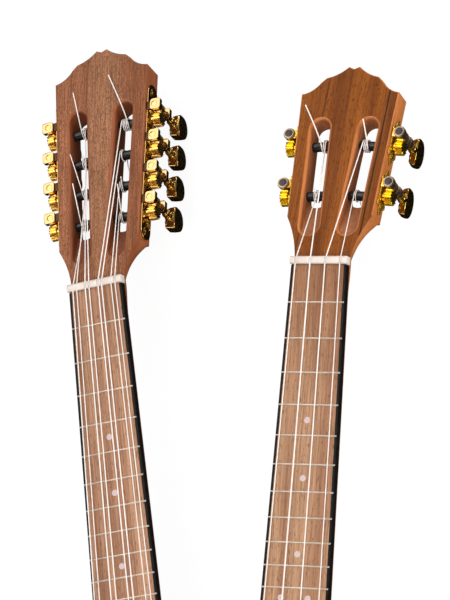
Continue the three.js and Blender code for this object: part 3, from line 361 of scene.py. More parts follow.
for row in SOFT_BOXES:
    soft_box(*row).visible_glossy = False
for row in CARDS_AND_STRIPS:
    soft_box(*row, WARM_WHITE).visible_diffuse = False
print(len(SOFT_BOXES), "soft boxes and", len(CARDS_AND_STRIPS), "cards and strips are lit")

# %% [markdown]
# ## Wood
# Wood has a figure on three scales: broad bands of colour, fine fibres that run along the piece, and
# pores, which are short dark dashes. One node group makes the three masks and a height, and each wood
# gives it its own scales and then colours the masks in its own way. Its coordinates are millimetres
# with Y along the grain.

# %% Wood figure group
BAND_STRETCH, PORE_STRETCH = 0.02, 0.16
PORE_LEVEL, PORE_EDGE = 0.74, 14.0


def make_wood_group():
    """Masks for bands, fibres and pores, and the height of the surface."""
    tree = bpy.data.node_groups.new("wood_figure", "ShaderNodeTree")
    face = tree.interface
    face.new_socket("Vector", in_out="INPUT", socket_type="NodeSocketVector")
    for name, value in (
        ("Band Scale", 0.1), ("Fibre Scale", 1.3), ("Pore Scale", 2.2), ("Pore Amount", 0.4), ("Wander", 4.0),
    ):
        face.new_socket(name, in_out="INPUT", socket_type="NodeSocketFloat").default_value = value
    for name in ("Bands", "Fibres", "Pores", "Height"):
        face.new_socket(name, in_out="OUTPUT", socket_type="NodeSocketFloat")
    given = tree.nodes.new("NodeGroupInput").outputs

    def vector_math(operation, first, second, key=1):
        return node(tree, "ShaderNodeVectorMath", {0: first, key: second}, operation=operation).outputs[0]

    def stretched(scale, share, detail, roughness=0.5):
        flat = vector_math("MULTIPLY", bent, (1, share, 1))
        inputs = {"Vector": flat, "Scale": scale, "Detail": detail, "Roughness": roughness}
        return node(tree, "ShaderNodeTexNoise", inputs).outputs["Fac"]

    wander = node(tree, "ShaderNodeTexNoise", {"Vector": given["Vector"], "Scale": 0.012, "Detail": 2.0})
    centred = vector_math("SUBTRACT", wander.outputs["Color"], (0.5, 0.5, 0.5))
    moved = vector_math("SCALE", centred, given["Wander"], key="Scale")
    bent = vector_math("ADD", given["Vector"], moved)
    bands = stretched(given["Band Scale"], BAND_STRETCH, 2.0)
    fibres = stretched(given["Fibre Scale"], BAND_STRETCH, 3.0, 0.6)
    dashes = stretched(given["Pore Scale"], PORE_STRETCH, 1.0)
    lowered = math_node(tree, "MULTIPLY", given["Pore Amount"], 0.3)
    above = math_node(tree, "SUBTRACT", dashes, math_node(tree, "SUBTRACT", PORE_LEVEL, lowered))
    pores = math_node(tree, "MULTIPLY", above, PORE_EDGE, clamp=True)
    raised = math_node(tree, "MULTIPLY", fibres, 0.4)
    height = math_node(tree, "SUBTRACT", raised, math_node(tree, "MULTIPLY", pores, 0.8))
    out = tree.nodes.new("NodeGroupOutput")
    for name, value in (("Bands", bands), ("Fibres", fibres), ("Pores", pores), ("Height", height)):
        tree.links.new(value, out.inputs[name])
    return tree


WOOD_FIGURE = make_wood_group()
print("wood figure group has", len(WOOD_FIGURE.nodes), "nodes")

# %% One wood
BAND_SPREAD = 0.14
FIBRE_SHADES = ((0.34, (0.38, 0.32, 0.28)), (0.5, (0.98, 0.98, 0.98)), (0.62, (1.4, 1.4, 1.4)))
PORE_STRENGTH, PORE_ROUGHNESS = 0.75, 0.25
GRAIN_HEIGHT = 0.0003


def wood(
    name, dark, light, pore, bands=0.1, fibres=1.3, pores=2.2, amount=0.4, wander=4.0, contrast=0.5,
    streak=0.75, roughness=0.45, coat=0.0, turn=(0, 0, 0), shift=0.0, squeeze=(1, 1, 1), bump=0.12,
    extras=(), specular=0.5,
):
    """A wood of two colours with darker pores; squeeze lets the grain follow a bent strip."""
    material, tree, shader = new_material(name)
    coordinates = node(tree, "ShaderNodeTexCoord").outputs["Object"]
    mapping = node(tree, "ShaderNodeMapping", {"Vector": coordinates})
    mapping.inputs["Rotation"].default_value = turn
    mapping.inputs["Scale"].default_value = [1000 * share for share in squeeze]
    mapping.inputs["Location"].default_value[0] = shift
    grain = node(tree, "ShaderNodeGroup", node_tree=WOOD_FIGURE)
    tree.links.new(mapping.outputs[0], grain.inputs["Vector"])
    for socket, value in (
        ("Band Scale", bands), ("Fibre Scale", fibres), ("Pore Scale", pores), ("Pore Amount", amount),
        ("Wander", wander),
    ):
        grain.inputs[socket].default_value = value
    middle = [(a + b) / 2 for a, b in zip(dark, light)]
    spread = BAND_SPREAD / contrast
    broad = ramp(tree, grain.outputs["Bands"], (0.5 - spread, dark), (0.5, middle), (0.5 + spread, light))
    for extra in extras:
        broad = extra(tree, mapping.outputs[0], grain.outputs["Bands"], broad)
    fine = ramp(tree, grain.outputs["Fibres"], *FIBRE_SHADES)
    colour = mix(tree, streak, broad, fine, "MULTIPLY")
    colour = mix(tree, math_node(tree, "MULTIPLY", grain.outputs["Pores"], PORE_STRENGTH), colour, pore)
    tree.links.new(colour, shader.inputs["Base Color"])
    rough = math_node(tree, "MULTIPLY_ADD", grain.outputs["Pores"], PORE_ROUGHNESS, roughness)
    tree.links.new(rough, shader.inputs["Roughness"])
    shader.inputs["Specular IOR Level"].default_value = specular
    shader.inputs["Coat Weight"].default_value = coat
    shader.inputs["Coat Roughness"].default_value = 0.15
    height = {"Height": grain.outputs["Height"], "Strength": bump, "Distance": GRAIN_HEIGHT}
    tree.links.new(node(tree, "ShaderNodeBump", height).outputs[0], shader.inputs["Normal"])
    return material


def tint(place, width, soft, colour, strength, sway=6.0, slant=0.0):
    """A stripe of another colour along the grain, at one distance from the neck's middle line."""

    def draw(tree, vector, bands, below):
        axes = node(tree, "ShaderNodeSeparateXYZ", {"Vector": vector}).outputs
        sideways = math_node(tree, "MULTIPLY_ADD", axes["Y"], -slant, axes["X"])
        swayed = math_node(tree, "MULTIPLY_ADD", math_node(tree, "SUBTRACT", bands, 0.5), sway, sideways)
        away = math_node(tree, "ABSOLUTE", math_node(tree, "SUBTRACT", swayed, place))
        mask = math_node(tree, "DIVIDE", math_node(tree, "SUBTRACT", width + soft, away), soft, clamp=True)
        return mix(tree, math_node(tree, "MULTIPLY", mask, strength), below, colour)

    return draw


print("a wood's pores stand out from", PORE_LEVEL, "of their noise")

# %% [markdown]
# Each neck is sawn from its own wood, reddish mahogany on the left and browner walnut on the right. The
# grain turns with the neck's splay and the head's tilt. A head's face shows a few stripes of its own,
# and its edge and the neck's back are smoother than the face, because they are shaped and polished.

# %% Woods of the heads and necks
LEFT_TURN, RIGHT_TURN = (0, 0, -NECK_SPLAY), (0, 0, NECK_SPLAY)
LEFT_HEAD_TURN = (HEADS["eight_string"]["tilt"], 0, -NECK_SPLAY)
RIGHT_HEAD_TURN = (HEADS["four_string"]["tilt"], 0, NECK_SPLAY)
AXIS_SHIFT = NUT_SPACING / 2 * math.cos(NECK_SPLAY) - NUT_LINE * math.sin(NECK_SPLAY)
left_face_wood = wood(
    "mahogany_face", (0.215, 0.073, 0.029), (0.385, 0.150, 0.069), (0.115, 0.040, 0.019),
    bands=0.12, fibres=1.5, pores=3.0, amount=0.75, turn=LEFT_HEAD_TURN, shift=AXIS_SHIFT,
    contrast=0.8, streak=0.65, specular=0.15, extras=[
        tint(0, 9, 6, (0.345, 0.155, 0.072), 0.7), tint(24, 5, 6, (0.235, 0.072, 0.021), 0.65),
        tint(-25, 7, 6, (0.37, 0.135, 0.058), 0.6),
    ],
)
right_face_wood = wood(
    "walnut_face", (0.150, 0.038, 0.0038), (0.262, 0.073, 0.0075), (0.075, 0.018, 0.004),
    bands=0.09, fibres=0.9, pores=1.8, amount=0.45, turn=RIGHT_HEAD_TURN, shift=-AXIS_SHIFT,
    contrast=0.75, streak=0.45, specular=0.1, extras=[
        tint(-27.6, 0.3, 0.7, (0.060, 0.018, 0.005), 0.65, sway=4, slant=0.03),
        tint(-3.5, 0.2, 0.6, (0.085, 0.026, 0.007), 0.5, sway=6, slant=0.01),
        tint(7.9, 0.3, 0.4, (0.030, 0.010, 0.004), 0.9, sway=1.5, slant=0.045),
        tint(11.4, 1.6, 1.5, (0.14, 0.042, 0.008), 0.3, sway=1.5, slant=0.045),
    ],
)
face_woods = {"eight_string": left_face_wood, "four_string": right_face_wood}
SHAPED = dict(bands=0.12, fibres=1.0, pores=2.0, roughness=0.35, specular=0.4, streak=0.35, bump=0.04)
left_core = dict(
    dark=(0.215, 0.062, 0.022), light=(0.36, 0.115, 0.045), pore=(0.11, 0.032, 0.012),
    amount=0.1, shift=AXIS_SHIFT, **SHAPED,
)
right_core = dict(
    dark=(0.36, 0.108, 0.026), light=(0.56, 0.19, 0.052), pore=(0.22, 0.065, 0.018),
    amount=0.05, shift=-AXIS_SHIFT, **SHAPED,
)
head_woods = {
    "eight_string": wood("mahogany_head", turn=LEFT_HEAD_TURN, **left_core),
    "four_string": wood("walnut_head", turn=RIGHT_HEAD_TURN, **right_core),
}
neck_woods = {
    "eight_string": wood("mahogany_neck", turn=LEFT_TURN, **left_core),
    "four_string": wood("walnut_neck", turn=RIGHT_TURN, **right_core),
}
# The walls inside the slots get a darker wood than the head's edge: painted shade in the slots.
SLOT_SHADE = dict(bands=0.1, fibres=0.8, amount=0.1, streak=0.3, bump=0.03, specular=0.3)
slot_shade_woods = {
    "eight_string": wood(
        "mahogany_slots_painted_shade", (0.175, 0.046, 0.016), (0.255, 0.078, 0.029), (0.08, 0.025, 0.012),
        turn=LEFT_HEAD_TURN, **SLOT_SHADE,
    ),
    "four_string": wood(
        "walnut_slots_painted_shade", (0.300, 0.100, 0.035), (0.420, 0.155, 0.060), (0.20, 0.065, 0.024),
        turn=RIGHT_HEAD_TURN, **SLOT_SHADE,
    ),
}
wood_sets = (face_woods, head_woods, neck_woods, slot_shade_woods)
print("woods of the necks:", [material.name for woods in wood_sets for material in woods.values()])

# %% [markdown]
# A fretboard is left without varnish, so it is dull, and it is darker near the nut, where fingers touch
# it most. The body has a thin coat of lacquer, and the wood inside it is bare.

# %% Woods of the boards
NUT_ALONG = NUT_LINE * math.cos(NECK_SPLAY) - NUT_SPACING / 2 * math.sin(NECK_SPLAY)


def darker_end(reach, colour, strength=1.0):
    """The wood grows darker over a distance below the nut."""

    def draw(tree, vector, bands, below):
        along = node(tree, "ShaderNodeSeparateXYZ", {"Vector": vector}).outputs["Y"]
        from_start = math_node(tree, "SUBTRACT", along, NUT_ALONG - reach)
        rise = math_node(tree, "DIVIDE", from_start, reach, clamp=True)
        return mix(tree, math_node(tree, "MULTIPLY", rise, strength), below, colour, "MULTIPLY")

    return draw


BARE_BOARD = dict(
    bands=0.16, fibres=1.1, pores=1.5, amount=0.4, contrast=0.7, streak=0.48, roughness=0.55, specular=0.15,
)
BOARD_PORES = (0.17, 0.08, 0.045)
board_wood = [
    wood(
        "fretboard_wood_left", (0.325, 0.152, 0.086), (0.485, 0.272, 0.162), BOARD_PORES,
        turn=LEFT_TURN, extras=[darker_end(50, (0.88, 0.84, 0.82))], **BARE_BOARD,
    ),
    wood(
        "fretboard_wood_right", (0.330, 0.162, 0.088), (0.500, 0.290, 0.168), BOARD_PORES,
        turn=RIGHT_TURN, extras=[darker_end(75, (0.74, 0.64, 0.56))], **BARE_BOARD,
    ),
]
print("woods of the boards:", [material.name for material in board_wood])

# %% Woods of the body
LACQUERED = dict(fibres=0.9, pores=1.8, amount=0.4, roughness=0.4, coat=0.15, specular=0.3)
plate_wood = wood(
    "walnut_plates", (0.150, 0.058, 0.023), (0.315, 0.135, 0.058), (0.065, 0.024, 0.011),
    bands=0.035, wander=14.0, **LACQUERED,
)
side_wood = wood(
    "walnut_sides", (0.150, 0.058, 0.023), (0.300, 0.128, 0.055), (0.065, 0.024, 0.011),
    bands=0.05, wander=6.0, squeeze=(0.04, 2, 1), **LACQUERED,
)
bridge_wood = wood(
    "dark_bridge_wood", (0.035, 0.018, 0.011), (0.085, 0.045, 0.028), (0.012, 0.006, 0.004),
    bands=0.2, fibres=2.0, pores=2.4, amount=0.5, turn=(0, 0, math.pi / 2), roughness=0.5,
)
spruce = wood(
    "spruce_braces", (0.55, 0.38, 0.20), (0.72, 0.55, 0.33), (0.40, 0.26, 0.13),
    bands=0.5, fibres=1.6, pores=1.5, amount=0.05, roughness=0.65,
)
block_wood = wood(
    "block_mahogany", (0.25, 0.11, 0.055), (0.38, 0.18, 0.10), (0.12, 0.05, 0.03),
    bands=0.1, fibres=1.2, pores=2.0, amount=0.4, roughness=0.65,
)
print("woods of the body:", [m.name for m in (plate_wood, side_wood, bridge_wood, spruce, block_wood)])

# %% [markdown]
# ## Metals, bone, nylon and plastic
# Polished plating is never quite even: it has faint waves from the buffing wheel, small scratches and
# places where it has gone a little dull. A group makes these marks for the gold, the frets and the
# black rollers alike.

# %% Polish marks group


def make_polish_group():
    """A mask for where a finish is dull, and the height of its waves and scratches."""
    tree = bpy.data.node_groups.new("polish_marks", "ShaderNodeTree")
    face = tree.interface
    face.new_socket("Vector", in_out="INPUT", socket_type="NodeSocketVector")
    for name, value in (("Wave Scale", 0.25), ("Scratch Scale", 3.0)):
        face.new_socket(name, in_out="INPUT", socket_type="NodeSocketFloat").default_value = value
    for name in ("Dullness", "Height"):
        face.new_socket(name, in_out="OUTPUT", socket_type="NodeSocketFloat")
    given = tree.nodes.new("NodeGroupInput").outputs

    def noise(vector, scale, detail):
        inputs = {"Vector": vector, "Scale": scale, "Detail": detail}
        return node(tree, "ShaderNodeTexNoise", inputs).outputs["Fac"]

    waves = noise(given["Vector"], given["Wave Scale"], 1.0)
    thin = node(tree, "ShaderNodeVectorMath", {0: given["Vector"], 1: (1, 0.08, 0.3)}, operation="MULTIPLY")
    scratches = noise(thin.outputs[0], given["Scratch Scale"], 4.0)
    dullness = math_node(tree, "MULTIPLY", waves, scratches)
    height = math_node(tree, "ADD", waves, math_node(tree, "MULTIPLY", scratches, 0.06))
    out = tree.nodes.new("NodeGroupOutput")
    tree.links.new(dullness, out.inputs["Dullness"])
    tree.links.new(height, out.inputs["Height"])
    return tree


POLISH_MARKS = make_polish_group()
print("polish marks group has", len(POLISH_MARKS.nodes), "nodes")

# %% One smooth finish
BRIGHT_END, DULL_END = 0.12, 0.42


def polished(
    name, deep, pale, metallic, roughness, spread, wave=0.25, scratch=3.0, bump=0.1, distance=0.0004,
    specular=0.5,
):
    """A smooth finish that goes from a deep to a pale colour where it has gone dull."""
    material, tree, shader = new_material(name)
    coordinates = node(tree, "ShaderNodeTexCoord").outputs["Object"]
    mapping = node(tree, "ShaderNodeMapping", {"Vector": coordinates, "Scale": (1000, 1000, 1000)})
    marks = node(tree, "ShaderNodeGroup", node_tree=POLISH_MARKS)
    tree.links.new(mapping.outputs[0], marks.inputs["Vector"])
    marks.inputs["Wave Scale"].default_value = wave
    marks.inputs["Scratch Scale"].default_value = scratch
    colour = ramp(tree, marks.outputs["Dullness"], (BRIGHT_END, deep), (DULL_END, pale))
    tree.links.new(colour, shader.inputs["Base Color"])
    rough = math_node(tree, "MULTIPLY_ADD", marks.outputs["Dullness"], spread, roughness)
    tree.links.new(rough, shader.inputs["Roughness"])
    shader.inputs["Metallic"].default_value = metallic
    shader.inputs["Specular IOR Level"].default_value = specular
    height = {"Height": marks.outputs["Height"], "Strength": bump, "Distance": distance}
    tree.links.new(node(tree, "ShaderNodeBump", height).outputs[0], shader.inputs["Normal"])
    return material


print("finishes go from bright at", BRIGHT_END, "to dull at", DULL_END)

# %% [markdown]
# The gold of the two heads isn't the same: the left one is paler. Buttons and plates are buffed bright,
# the teeth that a cutter left are a little rougher, the screws of the longer head are a darker gold, and
# the feet of its upper blocks are painted dark brown as painted shade.

# %% Golds and other metals
BRIGHT = dict(metallic=1.0, roughness=0.07, spread=0.25, wave=0.30, bump=0.12, distance=0.0001)
left_gold = polished("pale_gold", (1.0, 0.67, 0.20), (1.0, 0.76, 0.33), **BRIGHT)
right_gold = polished("deep_gold", (1.0, 0.64, 0.09), (1.0, 0.74, 0.20), **BRIGHT)
block_gold = polished("cream_gold", (0.71, 0.46, 0.20), (0.78, 0.53, 0.27), 1.0, 0.10, 0.25, wave=0.30)
left_gear_gold = polished("pale_cut_gold", (1.0, 0.64, 0.16), (1.0, 0.74, 0.29), 1.0, 0.16, 0.25, wave=0.30)
right_gear_gold = polished("deep_cut_gold", (1.0, 0.66, 0.02), (1.0, 0.73, 0.08), 1.0, 0.18, 0.25, wave=0.30)
plate_gold = polished(
    "deep_plate_gold", (1.0, 0.60, 0.05), (1.0, 0.70, 0.13), 0.9, 0.2, 0.25, wave=0.6, bump=0.5,
    distance=0.0003,
)
fret_metal = polished("fret_metal", (0.62, 0.53, 0.45), (0.80, 0.71, 0.61), 0.75, 0.26, 0.3)
roller_black = polished("black_roller", (0.004, 0.0035, 0.004), (0.012, 0.011, 0.012), 0.0, 0.20, 0.3)
bush_metal = polished("bush_metal", (0.42, 0.30, 0.20), (0.58, 0.44, 0.31), 1.0, 0.3, 0.3, wave=0.4)
dark_metal = polished("dark_worm_end", (0.046, 0.038, 0.040), (0.090, 0.076, 0.078), 0.8, 0.3, 0.3, wave=0.8)
# A dark brown for the feet of the upper blocks on the longer head: painted shade between block and head.
shaded_foot_metal = polished("foot_gold_painted_shade", (0.085, 0.042, 0.016), (0.15, 0.080, 0.032), 1.0, 0.35, 0.3, wave=0.4)
dark_gold = polished("dark_gold", (0.30, 0.16, 0.04), (0.46, 0.28, 0.09), 1.0, 0.2, 0.3, wave=0.4)
print("fret metal and", sum("gold" in m.name for m in bpy.data.materials), "golds are ready")

# %% Bone, binding and inlay
bone = polished(
    "bone_nut", (0.67, 0.57, 0.50), (0.77, 0.67, 0.60), 0.0, 0.35, 0.3, wave=0.12, scratch=1.2, bump=0.06,
)
binding_black = polished(
    "black_binding", (0.004, 0.0035, 0.0035), (0.010, 0.009, 0.009), 0.0, 0.38, 0.3, specular=0.2,
)
inlay_line = polished("pale_inlay", (0.70, 0.62, 0.50), (0.78, 0.70, 0.58), 0.0, 0.4, 0.2)
print("bone, binding and inlay are ready")

# %% [markdown]
# The dots are cut from shell, which is cloudy in itself. Nylon is a clear plastic that has gone milky:
# a little light goes through it, and the rest makes it pale.

# %% Pearl dots and nylon


def clouded(name, stops, roughness, **noise):
    """A material whose colour is cloudy; its noise is in metres."""
    material, tree, shader = new_material(name)
    coordinates = node(tree, "ShaderNodeTexCoord").outputs["Object"]
    cloud = node(tree, "ShaderNodeTexNoise", {"Vector": coordinates, **noise})
    tree.links.new(ramp(tree, cloud.outputs["Fac"], *stops), shader.inputs["Base Color"])
    shader.inputs["Roughness"].default_value = roughness
    return material, shader


pearl, _ = clouded(
    "pearl_dots", ((0.3, (0.46, 0.34, 0.33)), (0.5, (0.62, 0.48, 0.46)), (0.7, (0.52, 0.44, 0.46))),
    0.3, Scale=700.0, Detail=3.0, Distortion=1.5,
)
nylon, shader = clouded(
    "string_nylon", ((0.35, (0.90, 0.83, 0.77)), (0.65, (0.97, 0.92, 0.87))), 0.28, Scale=60.0, Detail=2.0,
)
shader.inputs["Transmission Weight"].default_value = 0.12
shader.inputs["IOR"].default_value = 1.45
print("finishes:", len(bpy.data.materials))

# %% [markdown]
# ## Helpers that make pieces
# A piece starts as a bmesh in millimetres, in whatever frame is easiest. Finishing it cleans the mesh,
# moves it to its place in metres, marks its sharp edges and lets it ride on a body of the model.

# %% Finishing a piece
DOUBLES, LEVEL = 1e-4, 1e-4


def finish_piece(
    bm, name, body, material, place=None, replaces=(), sharp=35, facing=None, lining=None,
    is_in_slot_shade=None,
):
    """Turns a bmesh in millimetres into a piece at its place.

    A facing goes on its flat top at Z = 0, and a lining where the test says so: the darker slot wood, painted
    shade.
    """
    bmesh.ops.remove_doubles(bm, verts=bm.verts, dist=DOUBLES)
    if facing:
        bmesh.ops.recalc_face_normals(bm, faces=bm.faces)
        for face in bm.faces:
            middle = face.calc_center_median()
            on_top = face.normal.z > 0.97 and abs(middle.z) < 0.05
            face.material_index = 1 if on_top else 2 if is_in_slot_shade(middle) else 0
    bm.transform(METRES @ (place or Matrix.Identity(4)))
    bmesh.ops.recalc_face_normals(bm, faces=bm.faces)
    made = add_object(name, mesh_from(bm, name))
    for finish in (material, facing, lining):
        if finish:
            made.data.materials.append(finish)
    made.data.shade_smooth()
    made.data.set_sharp_from_angle(angle=math.radians(sharp))
    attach(made, body)
    if replaces:
        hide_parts(*replaces)
    return made


print("pieces are finished with doubles closer than", DOUBLES, "mm merged")

# %% [markdown]
# Most pieces need the same few steps: pull a flat outline up, round the edges, cut one shape out of
# another, or bridge one ring of points to the next. Cutting uses the Boolean modifier, because it copes
# with any two closed shapes, and its result is read back into a bmesh.

# %% Rounding, closing and pulling up


def is_level(edge):
    """Whether both ends of an edge are at one height."""
    return abs(edge.verts[0].co.z - edge.verts[1].co.z) < LEVEL


def round_edges(bm, edges, offset, segments=2):
    """Rounds edges over."""
    bmesh.ops.bevel(
        bm, geom=edges, offset=offset, affect="EDGES", segments=segments, profile=0.5, material=-1
    )


def close_up(bm):
    """Fills open ends and turns all faces outwards."""
    bmesh.ops.holes_fill(bm, edges=[edge for edge in bm.edges if edge.is_boundary], sides=0)
    bmesh.ops.recalc_face_normals(bm, faces=bm.faces)


def pull_up(bm, face, height):
    """Extrudes a face along Z."""
    raised = bmesh.ops.extrude_face_region(bm, geom=[face])["geom"]
    moved = [item for item in raised if isinstance(item, bmesh.types.BMVert)]
    bmesh.ops.translate(bm, vec=(0, 0, height), verts=moved)


print("an edge is level to within", LEVEL, "mm")

# %% Cutting and joining


def loose_object(bm, name):
    """A helper object that is used for cutting and then removed."""
    bmesh.ops.recalc_face_normals(bm, faces=bm.faces)
    return add_object(name, mesh_from(bm, name))


def bmesh_from(mesh):
    """A bmesh with a copy of a mesh."""
    bm = bmesh.new()
    bm.from_mesh(mesh)
    return bm


def carve(bm, cutters=(), add=None, round_by=0.0, segments=2, angle=40):
    """Joins and cuts bmeshes and rounds the sharp edges, with modifiers that are then applied."""
    target = loose_object(bm, "carved")
    tools = [loose_object(other, "tool") for other in ([add] if add else []) + list(cutters)]
    for index, tool in enumerate(tools):
        cut = target.modifiers.new("cut", "BOOLEAN")
        cut.operation = "UNION" if add and index == 0 else "DIFFERENCE"
        cut.solver = "EXACT"
        cut.object = tool
    if round_by:
        rounding = target.modifiers.new("round", "BEVEL")
        rounding.width = round_by
        rounding.segments = segments
        rounding.limit_method = "ANGLE"
        rounding.angle_limit = math.radians(angle)
    bpy.context.view_layer.update()
    mesh = bpy.data.meshes.new_from_object(target.evaluated_get(bpy.context.evaluated_depsgraph_get()))
    result = bmesh_from(mesh)
    bpy.data.meshes.remove(mesh)
    for helper in (target, *tools):
        data = helper.data
        bpy.data.objects.remove(helper)
        bpy.data.meshes.remove(data)
    return result


def gather(*parts):
    """Several bmeshes as one."""
    whole = bmesh.new()
    for part in parts:
        mesh = mesh_from(part, "part")
        whole.from_mesh(mesh)
        bpy.data.meshes.remove(mesh)
    return whole


print("cutting and joining are ready")

# %% Slabs, rods and bricks
ALONG_X = Matrix(((0, 0, 1, 0), (1, 0, 0, 0), (0, 1, 0, 0), (0, 0, 0, 1)))


def slab(points, low, high, place=None):
    """A flat outline in X and Y, given thickness along Z."""
    bm = bmesh.new()
    pull_up(bm, bm.faces.new([bm.verts.new((x, y, low)) for x, y in points]), high - low)
    bmesh.ops.recalc_face_normals(bm, faces=bm.faces)
    bm.transform(place or Matrix.Identity(4))
    return bm


def rod(radius, low, high, sides=24, place=None, bevel=0.0):
    """A round bar along Z, its rims rounded if bevel is given."""
    bm = bmesh.new()
    bmesh.ops.create_cone(
        bm, cap_ends=True, segments=sides, radius1=radius, radius2=radius, depth=high - low,
        matrix=Matrix.Translation((0, 0, (low + high) / 2)),
    )
    if bevel:
        round_edges(bm, [edge for edge in bm.edges if is_level(edge)], bevel)
    bm.transform(place or Matrix.Identity(4))
    return bm


def brick(low, high, bevel=0.0):
    """A block between two corners, with rounded edges."""
    bm = bmesh.new()
    size = [b - a for a, b in zip(low, high)]
    middle = [(a + b) / 2 for a, b in zip(low, high)]
    bmesh.ops.create_cube(bm, size=1.0, matrix=Matrix.Translation(middle) @ Matrix.Diagonal((*size, 1)))
    if bevel:
        round_edges(bm, bm.edges[:], bevel)
    return bm


print("solids start as slabs, rods and bricks")

# %% Surfaces bridged over rings


def loop_edges(bm, points):
    """A closed ring of vertices and the edges between them."""
    verts = [bm.verts.new(point) for point in points]
    return [bm.edges.new((a, b)) for a, b in zip(verts, verts[1:] + verts[:1])]


def skin(rings):
    """A surface bridged over rings that have the same number of points, with closed ends."""
    bm = bmesh.new()
    loops = [loop_edges(bm, ring) for ring in rings]
    for near, far in zip(loops, loops[1:]):
        bmesh.ops.bridge_loops(bm, edges=near + far)
    for loop in (loops[0], loops[-1]):
        bmesh.ops.contextual_create(bm, geom=loop)
    bmesh.ops.recalc_face_normals(bm, faces=bm.faces)
    return bm


def bridge_all_round(bm, loops):
    """Bridges each loop of edges to the next, and the last to the first."""
    for near, far in zip(loops, loops[1:] + loops[:1]):
        bmesh.ops.bridge_loops(bm, edges=near + far)


print("surfaces can be bridged over rings")

# %% [markdown]
# ## Body
# The outline is one smooth curve, drawn as five short ones and mirrored. The top and the back are thin
# plates inside a black binding, and the sides are one bent strip of wood between them.

# %% Body outline
TAIL, SHOULDER = -BODY_LENGTH / 2, BODY_LENGTH / 2
SHOULDER_HALF, VALLEY_DROP = 66, 7
LOWER_BOUT = Vector((150, -0.21 * BODY_LENGTH))
WAIST = Vector((118, 0.13 * BODY_LENGTH))
UPPER_BOUT = Vector((130, 0.33 * BODY_LENGTH))
LONG_HANDLE, SHORT_HANDLE, SHOULDER_HANDLE = 0.62, 0.31, 0.6


def bezier(a, b, c, d, share):
    """A point on a curve with two handles."""
    a, b, c, d = (Vector(point) for point in (a, b, c, d))
    rest = 1 - share
    return a * rest**3 + b * (3 * rest**2 * share) + c * (3 * rest * share**2) + d * share**3


def body_outline(inset=0.0, steps=20):
    """The outline, moved inwards by a distance."""
    tail, shoulder = Vector((0, TAIL)), Vector((SHOULDER_HALF, SHOULDER))
    valley = Vector((0, SHOULDER - VALLEY_DROP))
    bout, waist, upper = LOWER_BOUT, WAIST, UPPER_BOUT

    def towards(start, end, share):
        return start + (end - start) * share

    def swing(start, end, share):
        return (start.x, towards(start.y, end.y, share))

    to_valley = towards(shoulder.x, 0, SHOULDER_HANDLE)
    from_upper = (towards(shoulder.x, upper.x, SHOULDER_HANDLE), shoulder.y)
    curves = [
        (tail, (0.47 * bout.x, tail.y), swing(bout, tail, LONG_HANDLE), bout),
        (bout, swing(bout, waist, SHORT_HANDLE), swing(waist, bout, SHORT_HANDLE), waist),
        (waist, swing(waist, upper, SHORT_HANDLE), swing(upper, waist, SHORT_HANDLE), upper),
        (upper, swing(upper, shoulder, LONG_HANDLE), from_upper, shoulder),
        (shoulder, (to_valley, shoulder.y), (to_valley, valley.y), valley),
    ]
    half = []
    for index, curve in enumerate(curves):
        start = 0 if index == 0 else 1
        half += [bezier(*curve, step / steps) for step in range(start, steps + 1)]
    whole = half + [Vector((-p.x, p.y)) for p in half[-2:0:-1]]
    moved = []
    for index, point in enumerate(whole):
        along = (whole[(index + 1) % len(whole)] - whole[index - 1]).normalized()
        moved.append((point.x - along.y * inset, point.y + along.x * inset))
    return moved


def hoop(inset_out, inset_in, low, high, bevel=0.0):
    """A closed strip that follows the outline, between two insets and two heights."""
    bm = bmesh.new()
    loops = [
        loop_edges(bm, [(x, y, z) for x, y in body_outline(inset)])
        for inset, z in ((inset_out, low), (inset_out, high), (inset_in, high), (inset_in, low))
    ]
    bridge_all_round(bm, loops)
    if bevel:
        round_edges(bm, loops[1], bevel, 3)
    bmesh.ops.recalc_face_normals(bm, faces=bm.faces)
    return bm


print("outline has", len(body_outline()), "points")

# %% [markdown]
# A sound hole lies under each neck's strings, just past the end of its board. The holes are cut from the
# top with round tools, and thin rings of wood and inlay make a rosette about each.

# %% Sound holes and the top
HOLE_RADIUS, HOLE_GAP = 30.0, 3
HOLE_DISTANCE = BOARD_LENGTH + HOLE_RADIUS + HOLE_GAP
BINDING_WIDTH, BINDING_HEIGHT, PURFLING_WIDTH = 2.4, 4, 0.8


def flat_ring(inner, outer, low, high, sides=64):
    """A thin round washer about Z."""
    bm = bmesh.new()
    loops = [
        bmesh.ops.create_circle(
            bm, segments=sides, radius=radius, matrix=Matrix.Translation((0, 0, z))
        )["verts"]
        for radius, z in ((inner, low), (inner, high), (outer, high), (outer, low))
    ]
    bridge_all_round(bm, [[e for e in bm.edges if e.verts[0] in set(loop)] for loop in loops])
    bmesh.ops.recalc_face_normals(bm, faces=bm.faces)
    return bm


centres = {name: neck_frame(head) @ Vector((0, -HOLE_DISTANCE, 0)) for name, head in HEADS.items()}
hole_tools = [
    rod(HOLE_RADIUS, BODY_DEPTH - 6, BODY_DEPTH + 3, 64, Matrix.Translation((c.x, c.y, 0)))
    for c in centres.values()
]
top = carve(slab(body_outline(BINDING_WIDTH), BODY_DEPTH - PLATE, BODY_DEPTH), hole_tools, round_by=0.25)
finish_piece(top, "top_plate", "instrument", plate_wood, replaces=["soundboard"])
top_edge = hoop(0, BINDING_WIDTH, BODY_DEPTH - BINDING_HEIGHT, BODY_DEPTH, bevel=0.9)
finish_piece(top_edge, "top_binding", "instrument", binding_black)
thin_line = hoop(BINDING_WIDTH, BINDING_WIDTH + PURFLING_WIDTH, BODY_DEPTH - 0.3, BODY_DEPTH + 0.02)
finish_piece(thin_line, "top_purfling", "instrument", inlay_line)
print("sound holes are", round(2 * centres["four_string"].x, 1), "mm apart")

